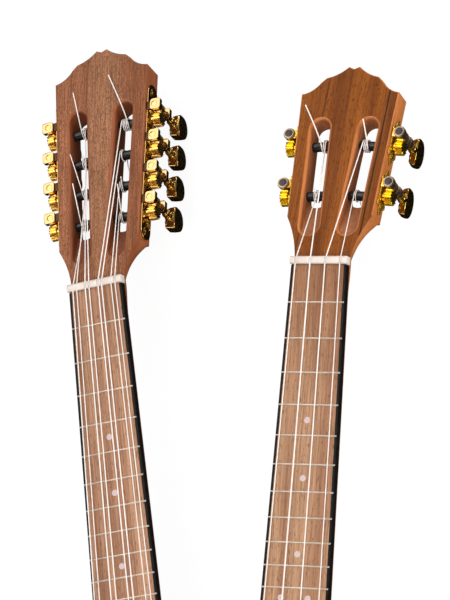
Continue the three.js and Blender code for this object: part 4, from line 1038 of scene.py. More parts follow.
# %% Rosettes
ROSETTE = (
    ("inner", 32.2, 33.0, inlay_line),
    ("band", 33.0, 38.0, wood(
        "rosette_wood", (0.06, 0.028, 0.015), (0.13, 0.065, 0.035), (0.02, 0.01, 0.006),
        bands=0.3, fibres=1.5, pores=2.0, amount=0.5, turn=(0, 0, 0.6), roughness=0.4, coat=0.25,
    )),
    ("outer", 38.0, 38.8, inlay_line),
)
for name, centre in centres.items():
    at = Matrix.Translation((centre.x, centre.y, 0))
    for label, inner, outer, material in ROSETTE:
        ring = flat_ring(inner, outer, BODY_DEPTH - 0.4, BODY_DEPTH + 0.06)
        finish_piece(ring, f"rosette_{label}_{name}", "instrument", material, at)
print("rosettes are", ROSETTE[-1][2], "mm in radius")

# %% [markdown]
# The sides are bent from one strip. Linings inside both of its edges give the plates more to be glued
# to, and a dark strip covers the seam in the middle of the back.

# %% Back and sides
LINING_WIDTH, LINING_HEIGHT = 5, 12
back_plate = slab(body_outline(BINDING_WIDTH), 0, PLATE)
finish_piece(back_plate, "back_plate", "instrument", plate_wood, replaces=["back"])
finish_piece(hoop(0, BINDING_WIDTH, 0, BINDING_HEIGHT), "back_binding", "instrument", binding_black)
strip = brick((-3, TAIL + 6, -0.02), (3, SHOULDER - 14, 0.5))
finish_piece(strip, "back_strip", "instrument", bpy.data.materials["rosette_wood"])
finish_piece(
    hoop(0.05, PLATE, BINDING_HEIGHT, BODY_DEPTH - BINDING_HEIGHT), "bent_sides", "instrument", side_wood,
    replaces=["sides_with_linings"],
)
for label, low in (("top", BODY_DEPTH - PLATE - LINING_HEIGHT), ("back", PLATE)):
    lining = hoop(PLATE, PLATE + LINING_WIDTH, low, low + LINING_HEIGHT)
    finish_piece(lining, f"lining_{label}", "instrument", block_wood)
print("body is", BODY_DEPTH, "mm deep")

# %% [markdown]
# ## Necks and heads
# The head is a flat board with a scalloped crown and two slots, cut and rounded as a router would. The
# neck's shaft is bridged over half-round sections that grow into the heel.

# %% Head outline
BOARD_AT_NUT, BOARD_AT_TWELFTH = 37.6, 45.6


def curve_points(start, handle, end, steps):
    """Points on a curve with one handle, without its first."""
    a, b, c = (Vector(p) for p in (start, handle, end))
    shares = [step / steps for step in range(1, steps + 1)]
    return [tuple(a * (1 - s) ** 2 + b * (2 * s * (1 - s)) + c * s**2) for s in shares]


def board_half(distance):
    """Half the fretboard's width at a distance from the nut."""
    growth = (BOARD_AT_TWELFTH - BOARD_AT_NUT) / fret_distance(12)
    return (BOARD_AT_NUT + growth * distance) / 2


def head_outline(head, steps=12):
    """The crown, ears and shoulders of a head."""
    (cx, cy), (ex, ey), (bx, by), (px, py) = (head[k] for k in ("corner", "ear", "bump", "peak"))
    share = 0.22
    step_x, step_y = bx + (ex - bx) * share, by + (ey - by) * share * 1.3
    ear_handle = (step_x + (ex - step_x) * 0.4, ey + (step_y - ey) * 0.12)
    crown_handle = (px + (bx - px) * 0.45, by + (py - by) * 0.2)
    half = [(cx, cy), (ex, ey)]
    half += curve_points((ex, ey), ear_handle, (step_x, step_y), steps) + [(bx, by)]
    half += curve_points((bx, by), crown_handle, (px, py), steps)
    return half + [(0, py - head["notch"])] + [(-x, y) for x, y in reversed(half)]


print("boards are", round(2 * board_half(0), 1), "mm wide at the nut")

# %% The head's root
NECK_SIDES = 28
ROOT_DEPTH, ROOT_OVERLAP = 15.0, 0.3
ROOT_SECTIONS = [(0, 1), (0.35, 0.8), (0.7, 0.5), (1, 0.15)]


def root_rings(head, steps=14):
    """The head's root in the head's frame, from half round at the nut to square at the lower corners."""
    (cx, cy), neck = head["corner"], board_half(0)
    handle = (neck + (cx - neck) * 0.22, cy * 0.55)
    side_curve = [(neck, 0)] + curve_points((neck, 0), handle, (cx, cy), steps)
    rings = []
    for index, (half, y) in enumerate(side_curve):
        share = index / steps
        for (a, low), (b, high) in zip(ROOT_SECTIONS, ROOT_SECTIONS[1:]):
            if a <= share <= b:
                roundness = low + (high - low) * (share - a) / (b - a)
        depth = ROOT_DEPTH + (head["thickness"] - ROOT_DEPTH) * share
        y += ROOT_OVERLAP if index == steps else 0
        ring = []
        for step in range(NECK_SIDES + 1):
            angle = math.pi * step / NECK_SIDES
            wide = math.copysign(abs(math.cos(angle)) ** roundness, math.cos(angle))
            wide = 0 if step * 2 == NECK_SIDES else wide
            ring.append((half * wide, y, -depth * math.sin(angle) ** roundness))
        rings.append(ring)
    return rings


print("root is", ROOT_DEPTH, "mm deep at the nut")

# %% [markdown]
# A string leaves the nut, runs down a ramp and meets its post inside a slot that goes right through the
# head. A router leaves half-round ends and softened edges, so the tool that cuts the slot here flares
# at its top in a quarter round. The faces inside the slots, below the rounded edge, get a darker wood
# that paints the shade in the slots, and a test tells which faces they are.

# %% Slots and ramps
SLOT_INSET, SLOT_HALF, SLOT_EDGE_ROUND = 15.7, 6.3, 1.8
RAMP_SLOPE, RAMP_LIP = 0.38, 1.0


def slot_frame(head, side):
    """Y along a slot from its lower end, mirrored so that both slots are drawn alike."""
    return side_frame(head, side, head["slot_bottom"]) @ Matrix.Diagonal((1, side, 1, 1))


def slot_lengths(head):
    """The length of the slot and of the ramp below it."""
    return head["slot_top"] - head["slot_bottom"], head["slot_bottom"] - head["ramp_end"]


def slot_solid(low, high, bottom, steps=12, round_steps=5):
    """A straight run with half-round ends, flared at the top to round the cut edge over."""
    levels = [(bottom, 0.0)]
    for step in range(round_steps + 1):
        angle = math.radians(84) * step / round_steps
        levels.append((SLOT_EDGE_ROUND * (math.sin(angle) - 1), SLOT_EDGE_ROUND * (1 - math.cos(angle))))
    levels.append((3.0, levels[-1][1]))
    rings = []
    for z, grow in levels:
        radius = SLOT_HALF + grow
        ring = []
        for middle, start in ((high - SLOT_HALF, 0.0), (low + SLOT_HALF, math.pi)):
            for step in range(steps + 1):
                angle = start + math.pi * step / steps
                ring.append((-SLOT_INSET + radius * math.cos(angle), middle + radius * math.sin(angle), z))
        rings.append(ring)
    return skin(rings)


def slot_cutters(head, side):
    """The slot right through the head, and the ramp that lets the strings down into it."""
    length, run = slot_lengths(head)
    through = slot_solid(0, length, -head["thickness"] - 3)
    slope = slot_solid(-run, 2 * SLOT_HALF, -head["thickness"])
    bmesh.ops.bisect_plane(
        slope, geom=slope.verts[:] + slope.edges[:] + slope.faces[:],
        plane_co=(0, -run, -RAMP_LIP), plane_no=(0, -RAMP_SLOPE, -1), clear_outer=True,
    )
    for bm in (through, slope):
        bm.transform(slot_frame(head, side))
        close_up(bm)
    return [through, slope]


def in_a_slot(head):
    """A test of whether a point of the head's frame lies on the wall of one of its slots."""
    length, run = slot_lengths(head)
    frames = [slot_frame(head, side).inverted() for side in (-1, 1)]

    def test(point):
        # Only faces below the rounded top edge get the darker wood, so the painted shade starts deeper in the
        # slot.
        if not 0.3 - head["thickness"] < point.z < -SLOT_EDGE_ROUND - 0.1:
            return False
        for to_slot in frames:
            x, y, _ = to_slot @ point
            if abs(x + SLOT_INSET) < SLOT_HALF + 2 and -run - 2 < y < length + 2:
                return True
        return False

    return test


print("slots are", [round(slot_lengths(head)[0], 1) for head in HEADS.values()], "mm long")

# %% Heads
ROLLER_RADIUS, ROLLER_PLAY = 3.1, 0.35
HEAD_EDGE_ROUND = 0.7


def rounded_board(head):
    """The head's flat board, rounded everywhere but on the straight edge that meets the root."""
    board = slab(head_outline(head), -head["thickness"], 0)
    shoulder = head["corner"][1]
    rims = [
        edge for edge in board.edges
        if is_level(edge) and not all(abs(vert.co.y - shoulder) < LEVEL for vert in edge.verts)
    ]
    round_edges(board, rims, HEAD_EDGE_ROUND, 3)
    return board


for name, head in HEADS.items():
    cutters = []
    for side in (-1, 1):
        cutters += slot_cutters(head, side)
        for height in head["posts"]:
            at = side_frame(head, side, height) @ Matrix.Translation((0, 0, -head["post_depth"])) @ ALONG_X
            cutters.append(rod(ROLLER_RADIUS + ROLLER_PLAY, -12, 3, 24, at))
    shaped = carve(skin(root_rings(head)), cutters, add=rounded_board(head), round_by=0.35, angle=50)
    # The slot walls get the darker wood that paints the shade in the slots.
    finish_piece(
        shaped, f"head_{name}", "instrument", head_woods[name], head_frame(head),
        replaces=[f"neck_{name}"],
        facing=face_woods[name], lining=slot_shade_woods[name], is_in_slot_shade=in_a_slot(head),
    )
    print("head", name, "is cut")

# %% [markdown]
# The shaft of a neck has a soft V at its back that fits the hand. Towards the nut it becomes half round,
# to meet the head's root, and towards the body it deepens and squares off into the heel. It is bridged
# over sections whose depth and squareness change smoothly.

# %% Sections of a neck
NECK_TOP = -BOARD_THICKNESS - GLUE_LINE
HEEL_RUN, NUT_RUN = 44, 24
HEEL_DEPTH, LOWER_DEPTH, UPPER_DEPTH = 66, 16.5, 14
HEEL = [(0, 0, 0), (0.3, 0.035, 0.05), (0.55, 0.14, 0.2), (0.75, 0.38, 0.5), (0.9, 0.75, 0.85), (1, 1, 1)]
VEE_HALF, VEE_POWER = 11, 2.2


def neck_ring(y, half, depth, square, top=NECK_TOP, fullness=0.0):
    """A soft V that fits the hand, a half round where fullness is 1, or a squarer heel."""
    points = []
    for step in range(NECK_SIDES + 1):
        angle = math.pi * step / NECK_SIDES
        vee = 1 - abs(math.cos(angle)) ** VEE_POWER
        deep = vee + (math.sin(angle) - vee) * max(fullness, square)
        sign = 0 if step * 2 == NECK_SIDES else math.copysign(1, math.cos(angle))
        wide = sign * (half + (VEE_HALF - half) * deep)
        points.append((half * math.cos(angle) * (1 - square) + wide * square, y, top - depth * deep))
    return points


def heel_at(share):
    """The heel's depth and squareness, smoothly between its sections."""
    for (a, *low), (b, *high) in zip(HEEL, HEEL[1:]):
        if share <= b:
            part = (share - a) / (b - a)
            part = part * part * (3 - 2 * part) * 0.35 + part * 0.65
            return [p + (q - p) * part for p, q in zip(low, high)]
    return list(HEEL[-1][1:])


def shaft_rings(heel_steps=24, middle_steps=8, nut_steps=6):
    """Sections from inside the body to the nut."""
    joint = fret_distance(BODY_JOINT_FRET)
    rings = [neck_ring(-joint - 6, board_half(joint), HEEL_DEPTH - 1, 1, NECK_TOP - 0.6)]
    for step in range(heel_steps, -1, -1):
        drop, square = heel_at(step / heel_steps)
        distance = joint - HEEL_RUN * (1 - step / heel_steps)
        depth = LOWER_DEPTH + (HEEL_DEPTH - LOWER_DEPTH) * drop
        rings.append(neck_ring(-distance, board_half(distance), depth, square))
    start = joint - HEEL_RUN
    for step in range(1, middle_steps + 1):
        distance = start + (NUT_RUN - start) * step / middle_steps
        depth = LOWER_DEPTH + (UPPER_DEPTH - LOWER_DEPTH) * step / middle_steps
        rings.append(neck_ring(-distance, board_half(distance), depth, 0))
    swell = (ROOT_DEPTH - UPPER_DEPTH) / 2
    for step in range(1, nut_steps + 1):
        share = step / nut_steps
        ease = share * share * (3 - 2 * share)
        distance = NUT_RUN * (1 - share)
        rings.append(
            neck_ring(-distance, board_half(distance), UPPER_DEPTH + swell * ease, 0, fullness=ease)
        )
    return rings


print("a neck is", UPPER_DEPTH, "to", LOWER_DEPTH, "mm deep")

# %% Neck shafts
for name, head in HEADS.items():
    to_head = neck_frame(head).inverted() @ head_frame(head)
    rings = shaft_rings() + [[tuple(to_head @ Vector(point)) for point in root_rings(head)[0]]]
    finish_piece(
        skin(rings), f"neck_shaft_{name}", "instrument", neck_woods[name], neck_frame(head),
        sharp=50,
    )
    print("shaft", name, "has", len(rings), "sections")

# %% [markdown]
# ## Fretboards
# A fretboard tapers with its strings. Black binding covers both edges, and each fret is a wire with a
# round crown. The dots mark the fifth, seventh, tenth, twelfth and fifteenth frets.

# %% Boards and binding
BINDING = 1.9


def tapered_bar(inner, outer, start=-GLUE_LINE, end=-BOARD_LENGTH):
    """A bar as thick as a board, whose two long edges follow the board's taper at given insets."""
    rings = []
    for y in (start, end):
        x_in, x_out = inner(-y), outer(-y)
        rings.append([(x, y, z) for x, z in (
            (x_in, -BOARD_THICKNESS), (x_out, -BOARD_THICKNESS), (x_out, 0), (x_in, 0),
        )])
    return skin(rings)


for (name, head), material in zip(HEADS.items(), board_wood):
    at = neck_frame(head)
    board = tapered_bar(lambda d: -board_half(d) + BINDING, lambda d: board_half(d) - BINDING)
    finish_piece(
        board, f"board_{name}", "instrument", material, at, replaces=[f"fretboard_{name}"],
    )
    for label, sign in (("left", -1), ("right", 1)):
        edge = tapered_bar(lambda d: sign * (board_half(d) - BINDING), lambda d: sign * board_half(d))
        edge = carve(edge, round_by=0.5)
        finish_piece(edge, f"board_binding_{label}_{name}", "instrument", binding_black, at)
print("boards are", round(BOARD_LENGTH, 1), "mm long")

# %% [markdown]
# Only the crown of a fret stands above the board, and its ends are filed round so that they don't catch
# the hand. A whole round wire is sunk by half, which gives that crown with the least work.

# %% Frets
FRET_CROWN, FRET_END_ROUND = 0.55, 0.3


def fret_wire(distance):
    """One fret: a round wire that is sunk in the board by half."""
    half = board_half(distance) - 0.3
    bm = bmesh.new()
    bmesh.ops.create_circle(bm, segments=20, radius=FRET_CROWN, cap_ends=True)
    pull_up(bm, bm.faces[:][0], 2 * half)
    bmesh.ops.translate(bm, vec=(0, 0, -half), verts=bm.verts[:])
    round_edges(bm, [edge for edge in bm.edges if is_level(edge)], FRET_END_ROUND)
    bm.transform(Matrix.Translation((0, -distance, 0)) @ ALONG_X)
    return bm


for name, head in HEADS.items():
    wires = gather(*[fret_wire(fret_distance(number)) for number in range(1, FRET_COUNT + 1)])
    finish_piece(wires, f"frets_{name}", "instrument", fret_metal, neck_frame(head))
print(FRET_COUNT, "frets on each board")

# %% Dots
DOT_RADIUS = 2.0
for name, head in HEADS.items():
    dots = []
    for number, places in ((5, (0,)), (7, (0,)), (10, (0,)), (12, (-9, 9)), (15, (0,))):
        middle = (fret_distance(number) + fret_distance(number - 1)) / 2
        for x in places:
            dots.append(rod(DOT_RADIUS, -0.5, 0.03, 24, Matrix.Translation((x, -middle, 0))))
    finish_piece(gather(*dots), f"dots_{name}", "instrument", pearl, neck_frame(head))
print("dots are", 2 * DOT_RADIUS, "mm across")

# %% [markdown]
# ## Nuts, bridges and saddles
# The nut and the saddle are bars of bone with rounded tops. Small slots in the nut space the strings.
# The bridge has a wing at each side, a shelf for the saddle and a block that the strings are tied to.
# So the place of each string comes first: where it crosses the nut and the saddle, which post it winds
# on and how often, and which way its cut tail points.

# %% Where each string lies
UPWARDS, DROOPING = math.radians(35), math.radians(165)
STRING_KEYS = ("nut", "saddle", "diameter", "side", "post", "turns", "lift", "tail")
STRING_ROWS = {
    "eight_string": (
        (-15, -24.4, 0.72, -1, 3, 1, UPWARDS, (-1.6, 28.3, 9.5)),
        (-12.3, -20, 0.62, -1, 2, 1, UPWARDS, (-4.3, 27.8, 9.5)),
        (-6.1, -9.7, 0.8, -1, 1, 1, UPWARDS, (1, 6, 2)),
        (-3.4, -5.3, 0.72, -1, 0, 1, UPWARDS, (-1.8, 28.4, 9.5)),
        (3, 5.3, 0.8, 1, 0, 3, UPWARDS, (-12.8, 36, 8.4)),
        (5.6, 9.7, 0.8, 1, 1, 1, DROOPING, (4.5, -14, 3)),
        (12.2, 20, 0.62, 1, 2, 1, UPWARDS, (-0.6, 7, 2)),
        (15, 24.4, 0.62, 1, 3, 1, UPWARDS, (-1.2, 21.7, 7.5)),
    ),
    "four_string": (
        (-15.3, -21.6, 0.72, -1, 1, 1, UPWARDS, (0.5, 6, 2)),
        (-5.3, -7.2, 0.92, -1, 0, 1, UPWARDS, (-11.1, 27.2, 8.7)),
        (4.8, 7.2, 0.82, 1, 0, 2, UPWARDS, (-3.9, 16.2, 7.7)),
        (14.8, 21.6, 0.62, 1, 1, 1, DROOPING, (0.8, -3.2, -0.6)),
    ),
}
STRINGS = {name: [dict(zip(STRING_KEYS, row)) for row in rows] for name, rows in STRING_ROWS.items()}
ACTION_AT_NUT, ACTION_AT_SADDLE, STRING_PLAY = 1.3, 5.7, 0.35
NUT_BREAK = 2.5
print("strings lie on the necks in rows of", [len(row) for row in STRINGS.values()])

# %% Nuts
NUT_HALF, NUT_SLOT_HALF, NUT_SLOT_SLOPE, NUT_SLOT_RUN = 19.1, 0.55, 0.42, 5.5
NUT_PROFILE = [(0, -5), (NUT_LENGTH, -5), (NUT_LENGTH, 1.1), (3.8, 2.3), (0.6, 2.3), (0, 1.7)]
slot_floor = ACTION_AT_NUT - STRING_PLAY + 0.25
slot_end = (NUT_BREAK + NUT_SLOT_RUN, slot_floor - NUT_SLOT_SLOPE * NUT_SLOT_RUN)
SLOT_PROFILE = [(-3, slot_floor), (NUT_BREAK, slot_floor), slot_end, (slot_end[0], 6), (-3, 6)]
for name, head in HEADS.items():
    bar = slab(NUT_PROFILE, -NUT_HALF, NUT_HALF, ALONG_X)
    cutters = [
        slab(SLOT_PROFILE, string["nut"] - NUT_SLOT_HALF, string["nut"] + NUT_SLOT_HALF, ALONG_X)
        for string in STRINGS[name]
    ]
    finish_piece(
        carve(bar, cutters, round_by=0.3), f"nut_bar_{name}", "instrument", bone, neck_frame(head),
        replaces=[f"nut_{name}"],
    )
print("nuts have", [len(row) for row in STRINGS.values()], "slots")

# %% [markdown]
# A bridge is carved from one block. Its thin wings spread the pull of the strings over the top. Holes
# through the tie block take the strings, and two strips of bone keep them from biting into the wood.

# %% Lengths of a bridge
BRIDGE_BOTTOM = -BOARD_THICKNESS
BRIDGE_RUN, SHELF_RUN, BLOCK_RUN = 25, 8.5, 8
BRIDGE_FRONT, SHELF_BACK = -SCALE_LENGTH + SHELF_RUN / 2, -SCALE_LENGTH - SHELF_RUN / 2
BRIDGE_TAIL = BRIDGE_FRONT - BRIDGE_RUN
BLOCK_BACK = SHELF_BACK - (BRIDGE_RUN - SHELF_RUN - BLOCK_RUN) / 2 - BLOCK_RUN
TIE_HEIGHT = BRIDGE_BOTTOM + 7.6 * 0.62
WING_HALF, WING_CORNER, WING_THICKNESS = 27.5, 5, 3.4
RIDGE_HALF, SADDLE_SLOT_HALF, SADDLE_HALF = 28, 27.3, 27
RIDGE_LOW, RIDGE_HIGH = -1.6, 2.6
RIDGE_PROFILE = [
    (BLOCK_BACK, -5), (BRIDGE_FRONT, -5), (BRIDGE_FRONT, RIDGE_LOW), (-SCALE_LENGTH + 2.4, RIDGE_HIGH),
    (SHELF_BACK, RIDGE_HIGH), (SHELF_BACK - 1.5, RIDGE_LOW), (BLOCK_BACK + BLOCK_RUN, RIDGE_LOW),
    (BLOCK_BACK + BLOCK_RUN, RIDGE_HIGH), (BLOCK_BACK, RIDGE_HIGH),
]
SADDLE_PROFILE = [(-1.2, -0.1), (1.2, -0.1), (1.2, 4.15), (0.6, 5.1), (0, 5.35), (-0.6, 5.1), (-1.2, 4.15)]
print("a bridge is", 2 * (WING_HALF + WING_CORNER), "mm wide")

# %% Bridges and saddles


def wing_outline():
    """The bridge's outline, with round corners."""
    outline = []
    for x, y, start in (
        (WING_HALF, BRIDGE_TAIL + WING_CORNER, -90), (WING_HALF, BRIDGE_FRONT - WING_CORNER, 0),
        (-WING_HALF, BRIDGE_FRONT - WING_CORNER, 90), (-WING_HALF, BRIDGE_TAIL + WING_CORNER, 180),
    ):
        for step in range(7):
            angle = math.radians(start + 15 * step)
            outline.append((x + WING_CORNER * math.cos(angle), y + WING_CORNER * math.sin(angle)))
    return outline


def carved_ridge(strings):
    """The shelf and the tie block, with the saddle's slot and a hole for each string."""
    low, high = (-SADDLE_SLOT_HALF, -SCALE_LENGTH - 1.5, -0.4), (SADDLE_SLOT_HALF, -SCALE_LENGTH + 1.5, 8)
    cutters = [brick(low, high)]
    for string in strings:
        at = Matrix.Translation((string["saddle"], 0, TIE_HEIGHT)) @ Matrix.Rotation(-math.pi / 2, 4, "X")
        radius = string["diameter"] / 2 + STRING_PLAY
        cutters.append(rod(radius, BLOCK_BACK - 3, SHELF_BACK + 1, 16, at))
    return carve(slab(RIDGE_PROFILE, -RIDGE_HALF, RIDGE_HALF, ALONG_X), cutters, round_by=0.35)


for name, head in HEADS.items():
    at = neck_frame(head)
    base = carve(
        slab(wing_outline(), BRIDGE_BOTTOM, BRIDGE_BOTTOM + WING_THICKNESS), round_by=0.8, segments=3
    )
    finish_piece(
        gather(base, carved_ridge(STRINGS[name])), f"bridge_wood_{name}", "instrument", bridge_wood, at,
        replaces=[f"bridge_{name}"],
    )
    for label, y in (("front", BLOCK_BACK + 6.9), ("back", BLOCK_BACK + 1.1)):
        trim = brick((-27.6, y - 0.7, 2.4), (27.6, y + 0.7, 2.75), 0.1)
        finish_piece(trim, f"tie_block_trim_{label}_{name}", "instrument", bone, at)
    on_line = Matrix.Translation((0, -SCALE_LENGTH, 0)) @ ALONG_X
    saddle = carve(slab(SADDLE_PROFILE, -SADDLE_HALF, SADDLE_HALF, on_line), round_by=0.25)
    finish_piece(
        saddle, f"saddle_bar_{name}", "instrument", bone, at, replaces=[f"saddle_{name}"]
    )
print("saddles stand", SCALE_LENGTH, "mm from the nuts")

# %% [markdown]
# ## Tuning machines
# Each machine is a worm that its button turns, a gear on the string's post that the worm drives, and a
# plate with two bearings. The worm's thread is a trapezium spun along a screw line, and the gear's
# teeth lean by the angle of that thread, so the two mesh.

# %% Worm thread
TEETH, GEAR_RADIUS, WORM_RADIUS = 14, 4.85, 2.85
ADDENDUM, DEDENDUM, BACKLASH, SUNK = 0.65, 0.8, 0.3, 0.15
PITCH = 2 * math.pi * GEAR_RADIUS / TEETH
CENTRES = GEAR_RADIUS + WORM_RADIUS
HALF_TOOTH = PITCH / 4 - BACKLASH / 4
FLANK = math.tan(math.radians(20))
CORE = WORM_RADIUS - DEDENDUM


def worm_thread(face_angle, turns=3.2, steps=24):
    """The ridge of a worm, its middle at the origin and its foot sunk in the core."""
    begin = face_angle - math.pi * turns
    half_tip, half_root = HALF_TOOTH - ADDENDUM * FLANK, HALF_TOOTH + (DEDENDUM + SUNK) * FLANK
    inside, outside = CORE - SUNK, WORM_RADIUS + ADDENDUM
    corners = [(inside, -half_root), (outside, -half_tip), (outside, half_tip), (inside, half_root)]
    low = -PITCH * turns / 2
    bm = bmesh.new()
    verts = [bm.verts.new((r * math.cos(begin), r * math.sin(begin), low + z)) for r, z in corners]
    face = bm.faces.new(verts)
    bmesh.ops.spin(
        bm, geom=[face, *face.edges, *verts], cent=(0, 0, 0), axis=(0, 0, 1), dvec=(0, 0, PITCH / steps),
        angle=2 * math.pi * turns, steps=round(turns * steps), use_duplicate=False,
    )
    close_up(bm)
    return bm


print("tooth pitch is", round(PITCH, 3), "mm,", TEETH, "turns of a button for one of its post")

# %% [markdown]
# The gear starts as a round face whose points are moved to the roots, flanks and tips of the teeth. It
# is pulled up in a few slices, and each slice is turned a little more than the one below, which twists
# the teeth by the worm's lead.

# %% Gear wheel
GEAR_ROOT, GEAR_FLANK, GEAR_TIP = 4.05, 4.5, GEAR_RADIUS + ADDENDUM
TOOTH = ((-1, GEAR_ROOT), (-1, GEAR_FLANK), (-1, GEAR_TIP), (1, GEAR_TIP), (1, GEAR_FLANK), (1, GEAR_ROOT))


def gear_wheel(width=5.0, slices=4):
    """A gear about Z, its teeth twisted by the thread's lead."""
    lead = PITCH / (2 * math.pi * WORM_RADIUS) / GEAR_RADIUS
    bm = bmesh.new()
    made = bmesh.ops.create_circle(bm, segments=TEETH * len(TOOTH), radius=1.0, cap_ends=True)["verts"]
    in_order = sorted(made, key=lambda vert: math.atan2(vert.co.y, vert.co.x) % (2 * math.pi))
    for index, vert in enumerate(in_order):
        tooth, step = divmod(index, len(TOOTH))
        flank_side, radius = TOOTH[step]
        half = (HALF_TOOTH - (radius - GEAR_RADIUS) * FLANK) / radius
        angle = 2 * math.pi * (tooth + 0.5) / TEETH + math.copysign(half, flank_side)
        vert.co = (radius * math.cos(angle), radius * math.sin(angle), -width / 2)
    for _ in range(slices):
        caps = [face for face in bm.faces if len(face.verts) > 4]
        pull_up(bm, max(caps, key=lambda face: face.calc_center_median().z), width / slices)
    for vert in bm.verts:
        vert.co = Matrix.Rotation(vert.co.z * lead, 3, "Z") @ vert.co
    rims = [
        edge for edge in bm.edges
        if is_level(edge) and abs(abs(edge.verts[0].co.z) - width / 2) < LEVEL
    ]
    round_edges(bm, rims, 0.18, 1)
    bmesh.ops.recalc_face_normals(bm, faces=bm.faces)
    return bm


print("gears are", 2 * GEAR_TIP, "mm across their tips")

# %% [markdown]
# A screw's head is half a sphere, pressed flat, with a cross cut into it. A button is a thick oval whose
# front is flat with soft flutes for the fingers. Its sections are drawn with evenly spaced points, so
# that the flutes come out smooth, and then bridged.

# %% Screw heads


def screw_head(radius, place, height):
    """A domed head with a crossed slot, about Z."""
    dome = bmesh.new()
    bmesh.ops.create_uvsphere(dome, u_segments=20, v_segments=12, radius=radius)
    bmesh.ops.bisect_plane(
        dome, geom=dome.verts[:] + dome.edges[:] + dome.faces[:], plane_co=(0, 0, 0), plane_no=(0, 0, 1),
        clear_inner=True,
    )
    close_up(dome)
    bmesh.ops.scale(dome, vec=(1, 1, height / radius), verts=dome.verts[:])
    long, short, low, high = 0.75 * radius, 0.14 * radius, 0.45 * height, 2 * height
    made = carve(dome, [brick((-x, -y, low), (x, y, high)) for x, y in ((long, short), (short, long))])
    made.transform(place)
    return made


print("screws have domed heads")

# %% Buttons
FLUTE_DEPTH, FLUTES = 0.42, 4.5
BUTTON_BEVEL, FLAT_FRONT = 1.1, 0.35


def even_points(line, count):
    """Points at even distances along a closed line."""
    lengths = [(b - a).length for a, b in zip(line, line[1:] + line[:1])]
    step, travelled, picked = sum(lengths) / count, 0.0, []
    for point, ahead, span in zip(line, line[1:] + line[:1], lengths):
        while len(picked) * step < travelled + span and len(picked) < count:
            picked.append(point + (ahead - point) * ((len(picked) * step - travelled) / span))
        travelled += span
    return picked


def button_shape(head, fine_steps=1440, count=144):
    """A thick oval, flattened and fluted towards the front, with a flat face that looks outwards along X."""
    length, width, thick = head["button"]
    outer = thick / 2
    layers = [
        (-outer, 0.70), (-outer + 0.15, 0.78), (-outer + BUTTON_BEVEL, 0.90), (0.0, 0.97),
        (outer - BUTTON_BEVEL, 1.0), (outer - 0.35, 0.985), (outer - 0.1, 0.955), (outer, 0.92),
    ]
    fine = []
    for step in range(fine_steps):
        angle = 2 * math.pi * step / fine_steps
        roundness = FLAT_FRONT if math.sin(angle) > 0 else 1.0
        y = math.copysign(abs(math.cos(angle)) ** ((1 + roundness) / 2), math.cos(angle))
        z = math.copysign(abs(math.sin(angle)) ** roundness, math.sin(angle))
        fine.append(Vector((y * length / 2, z * width / 2)))
    outline = even_points(fine, count)
    rings = []
    for x, share in layers:
        ring = []
        for y, z in outline:
            inner = min(1.0, max(0.0, (outer - BUTTON_BEVEL - x) / 0.8))
            wave = math.cos(2 * math.pi * y / (length / FLUTES)) if z > width * 0.3 else 0
            ring.append((x, share * y, share * z + FLUTE_DEPTH * inner * wave))
        rings.append(ring)
    return skin(rings)


print("buttons are", [head["button"] for head in HEADS.values()], "mm long, wide and thick")

# %% [markdown]
# Two groups of shapes turn: the shaft with its worm and button, and the post with its roller and gear.
# The shaft swells between the plate and the button in a few turned rings. Everything is drawn about its
# own axis and put in its place afterwards.

# %% Shafts and posts
SHAFT_RINGS = (
    (5.6, 2.1), (5.2, 2.9), (4.2, 2.9), (3.9, 2.3), (3.2, 2.3), (2.8, 2.8), (1, 3.0), (-1.5, 2.8),
)
COLLAR_RADIUS = 2.9


def button_and_shaft(head, side, sides=24):
    """The worm with its shaft, and the button with its turned rings, about the worm's axis on Z."""
    rear = -head["rear_depth"] - head["bearing"] - GLUE_LINE
    thread = worm_thread(-side * math.pi / 2)
    thread.transform(Matrix.Translation((0, 0, -head["post_depth"])))
    button_top = -head["button_depth"] + head["button"][1] / 2
    core = rod(CORE, button_top - 2, head["shaft_top"], bevel=0.2)
    collar = rod(COLLAR_RADIUS, rear - head["collar"], rear, bevel=0.3)
    angles = [2 * math.pi * step / sides for step in range(sides)]
    neck = skin([
        [(r * math.cos(a), r * math.sin(a), button_top + z) for a in angles] for z, r in SHAFT_RINGS
    ])
    button = button_shape(head)
    button.transform(Matrix.Translation((0, 0, -head["button_depth"])))
    return gather(thread, core, collar), gather(neck, button)


def roller_and_gear(head):
    """Everything that turns with a post: roller, tip and shaft are black, the gear is gold."""
    wall = -(SLOT_INSET + SLOT_HALF)
    roller = gather(
        rod(ROLLER_RADIUS, wall + 0.35, 0.4, 28, ALONG_X, bevel=0.25),
        rod(2.0, wall - 3.2, wall + 0.5, 20, ALONG_X, bevel=0.2),
    )
    gear = gear_wheel()
    gear.transform(Matrix.Translation((head["reach"], 0, 0)) @ ALONG_X)
    hub = rod(ROLLER_RADIUS, 0.3, head["reach"] - 2, 24, ALONG_X)
    return roller, gather(gear, hub)


print("a worm's axis stands", [head["reach"] for head in HEADS.values()], "mm out from the head's side")

# %% [markdown]
# A plate is stamped from thin sheet and screwed to the head's side. On the longer head the worms run in
# square blocks with soft corners, and the feet of the upper ones are painted dark brown as painted shade.
# On the shorter one they run in round barrels: the upper one ends in a ring with a dark centre, and the
# lower one is longer, with a gold ring round it.

# %% Outline of a plate
LEAF = (
    (0.86, 0.0), (0.9, 2.2), (1.0, 4.6), (1.0, 6.0), (0.86, 7.1), (0.62, 7.3), (0.44, 6.6), (0.42, 7.6),
    (0.36, 9.4), (0.18, 11.6),
)
LEAF_TIP = 0.9


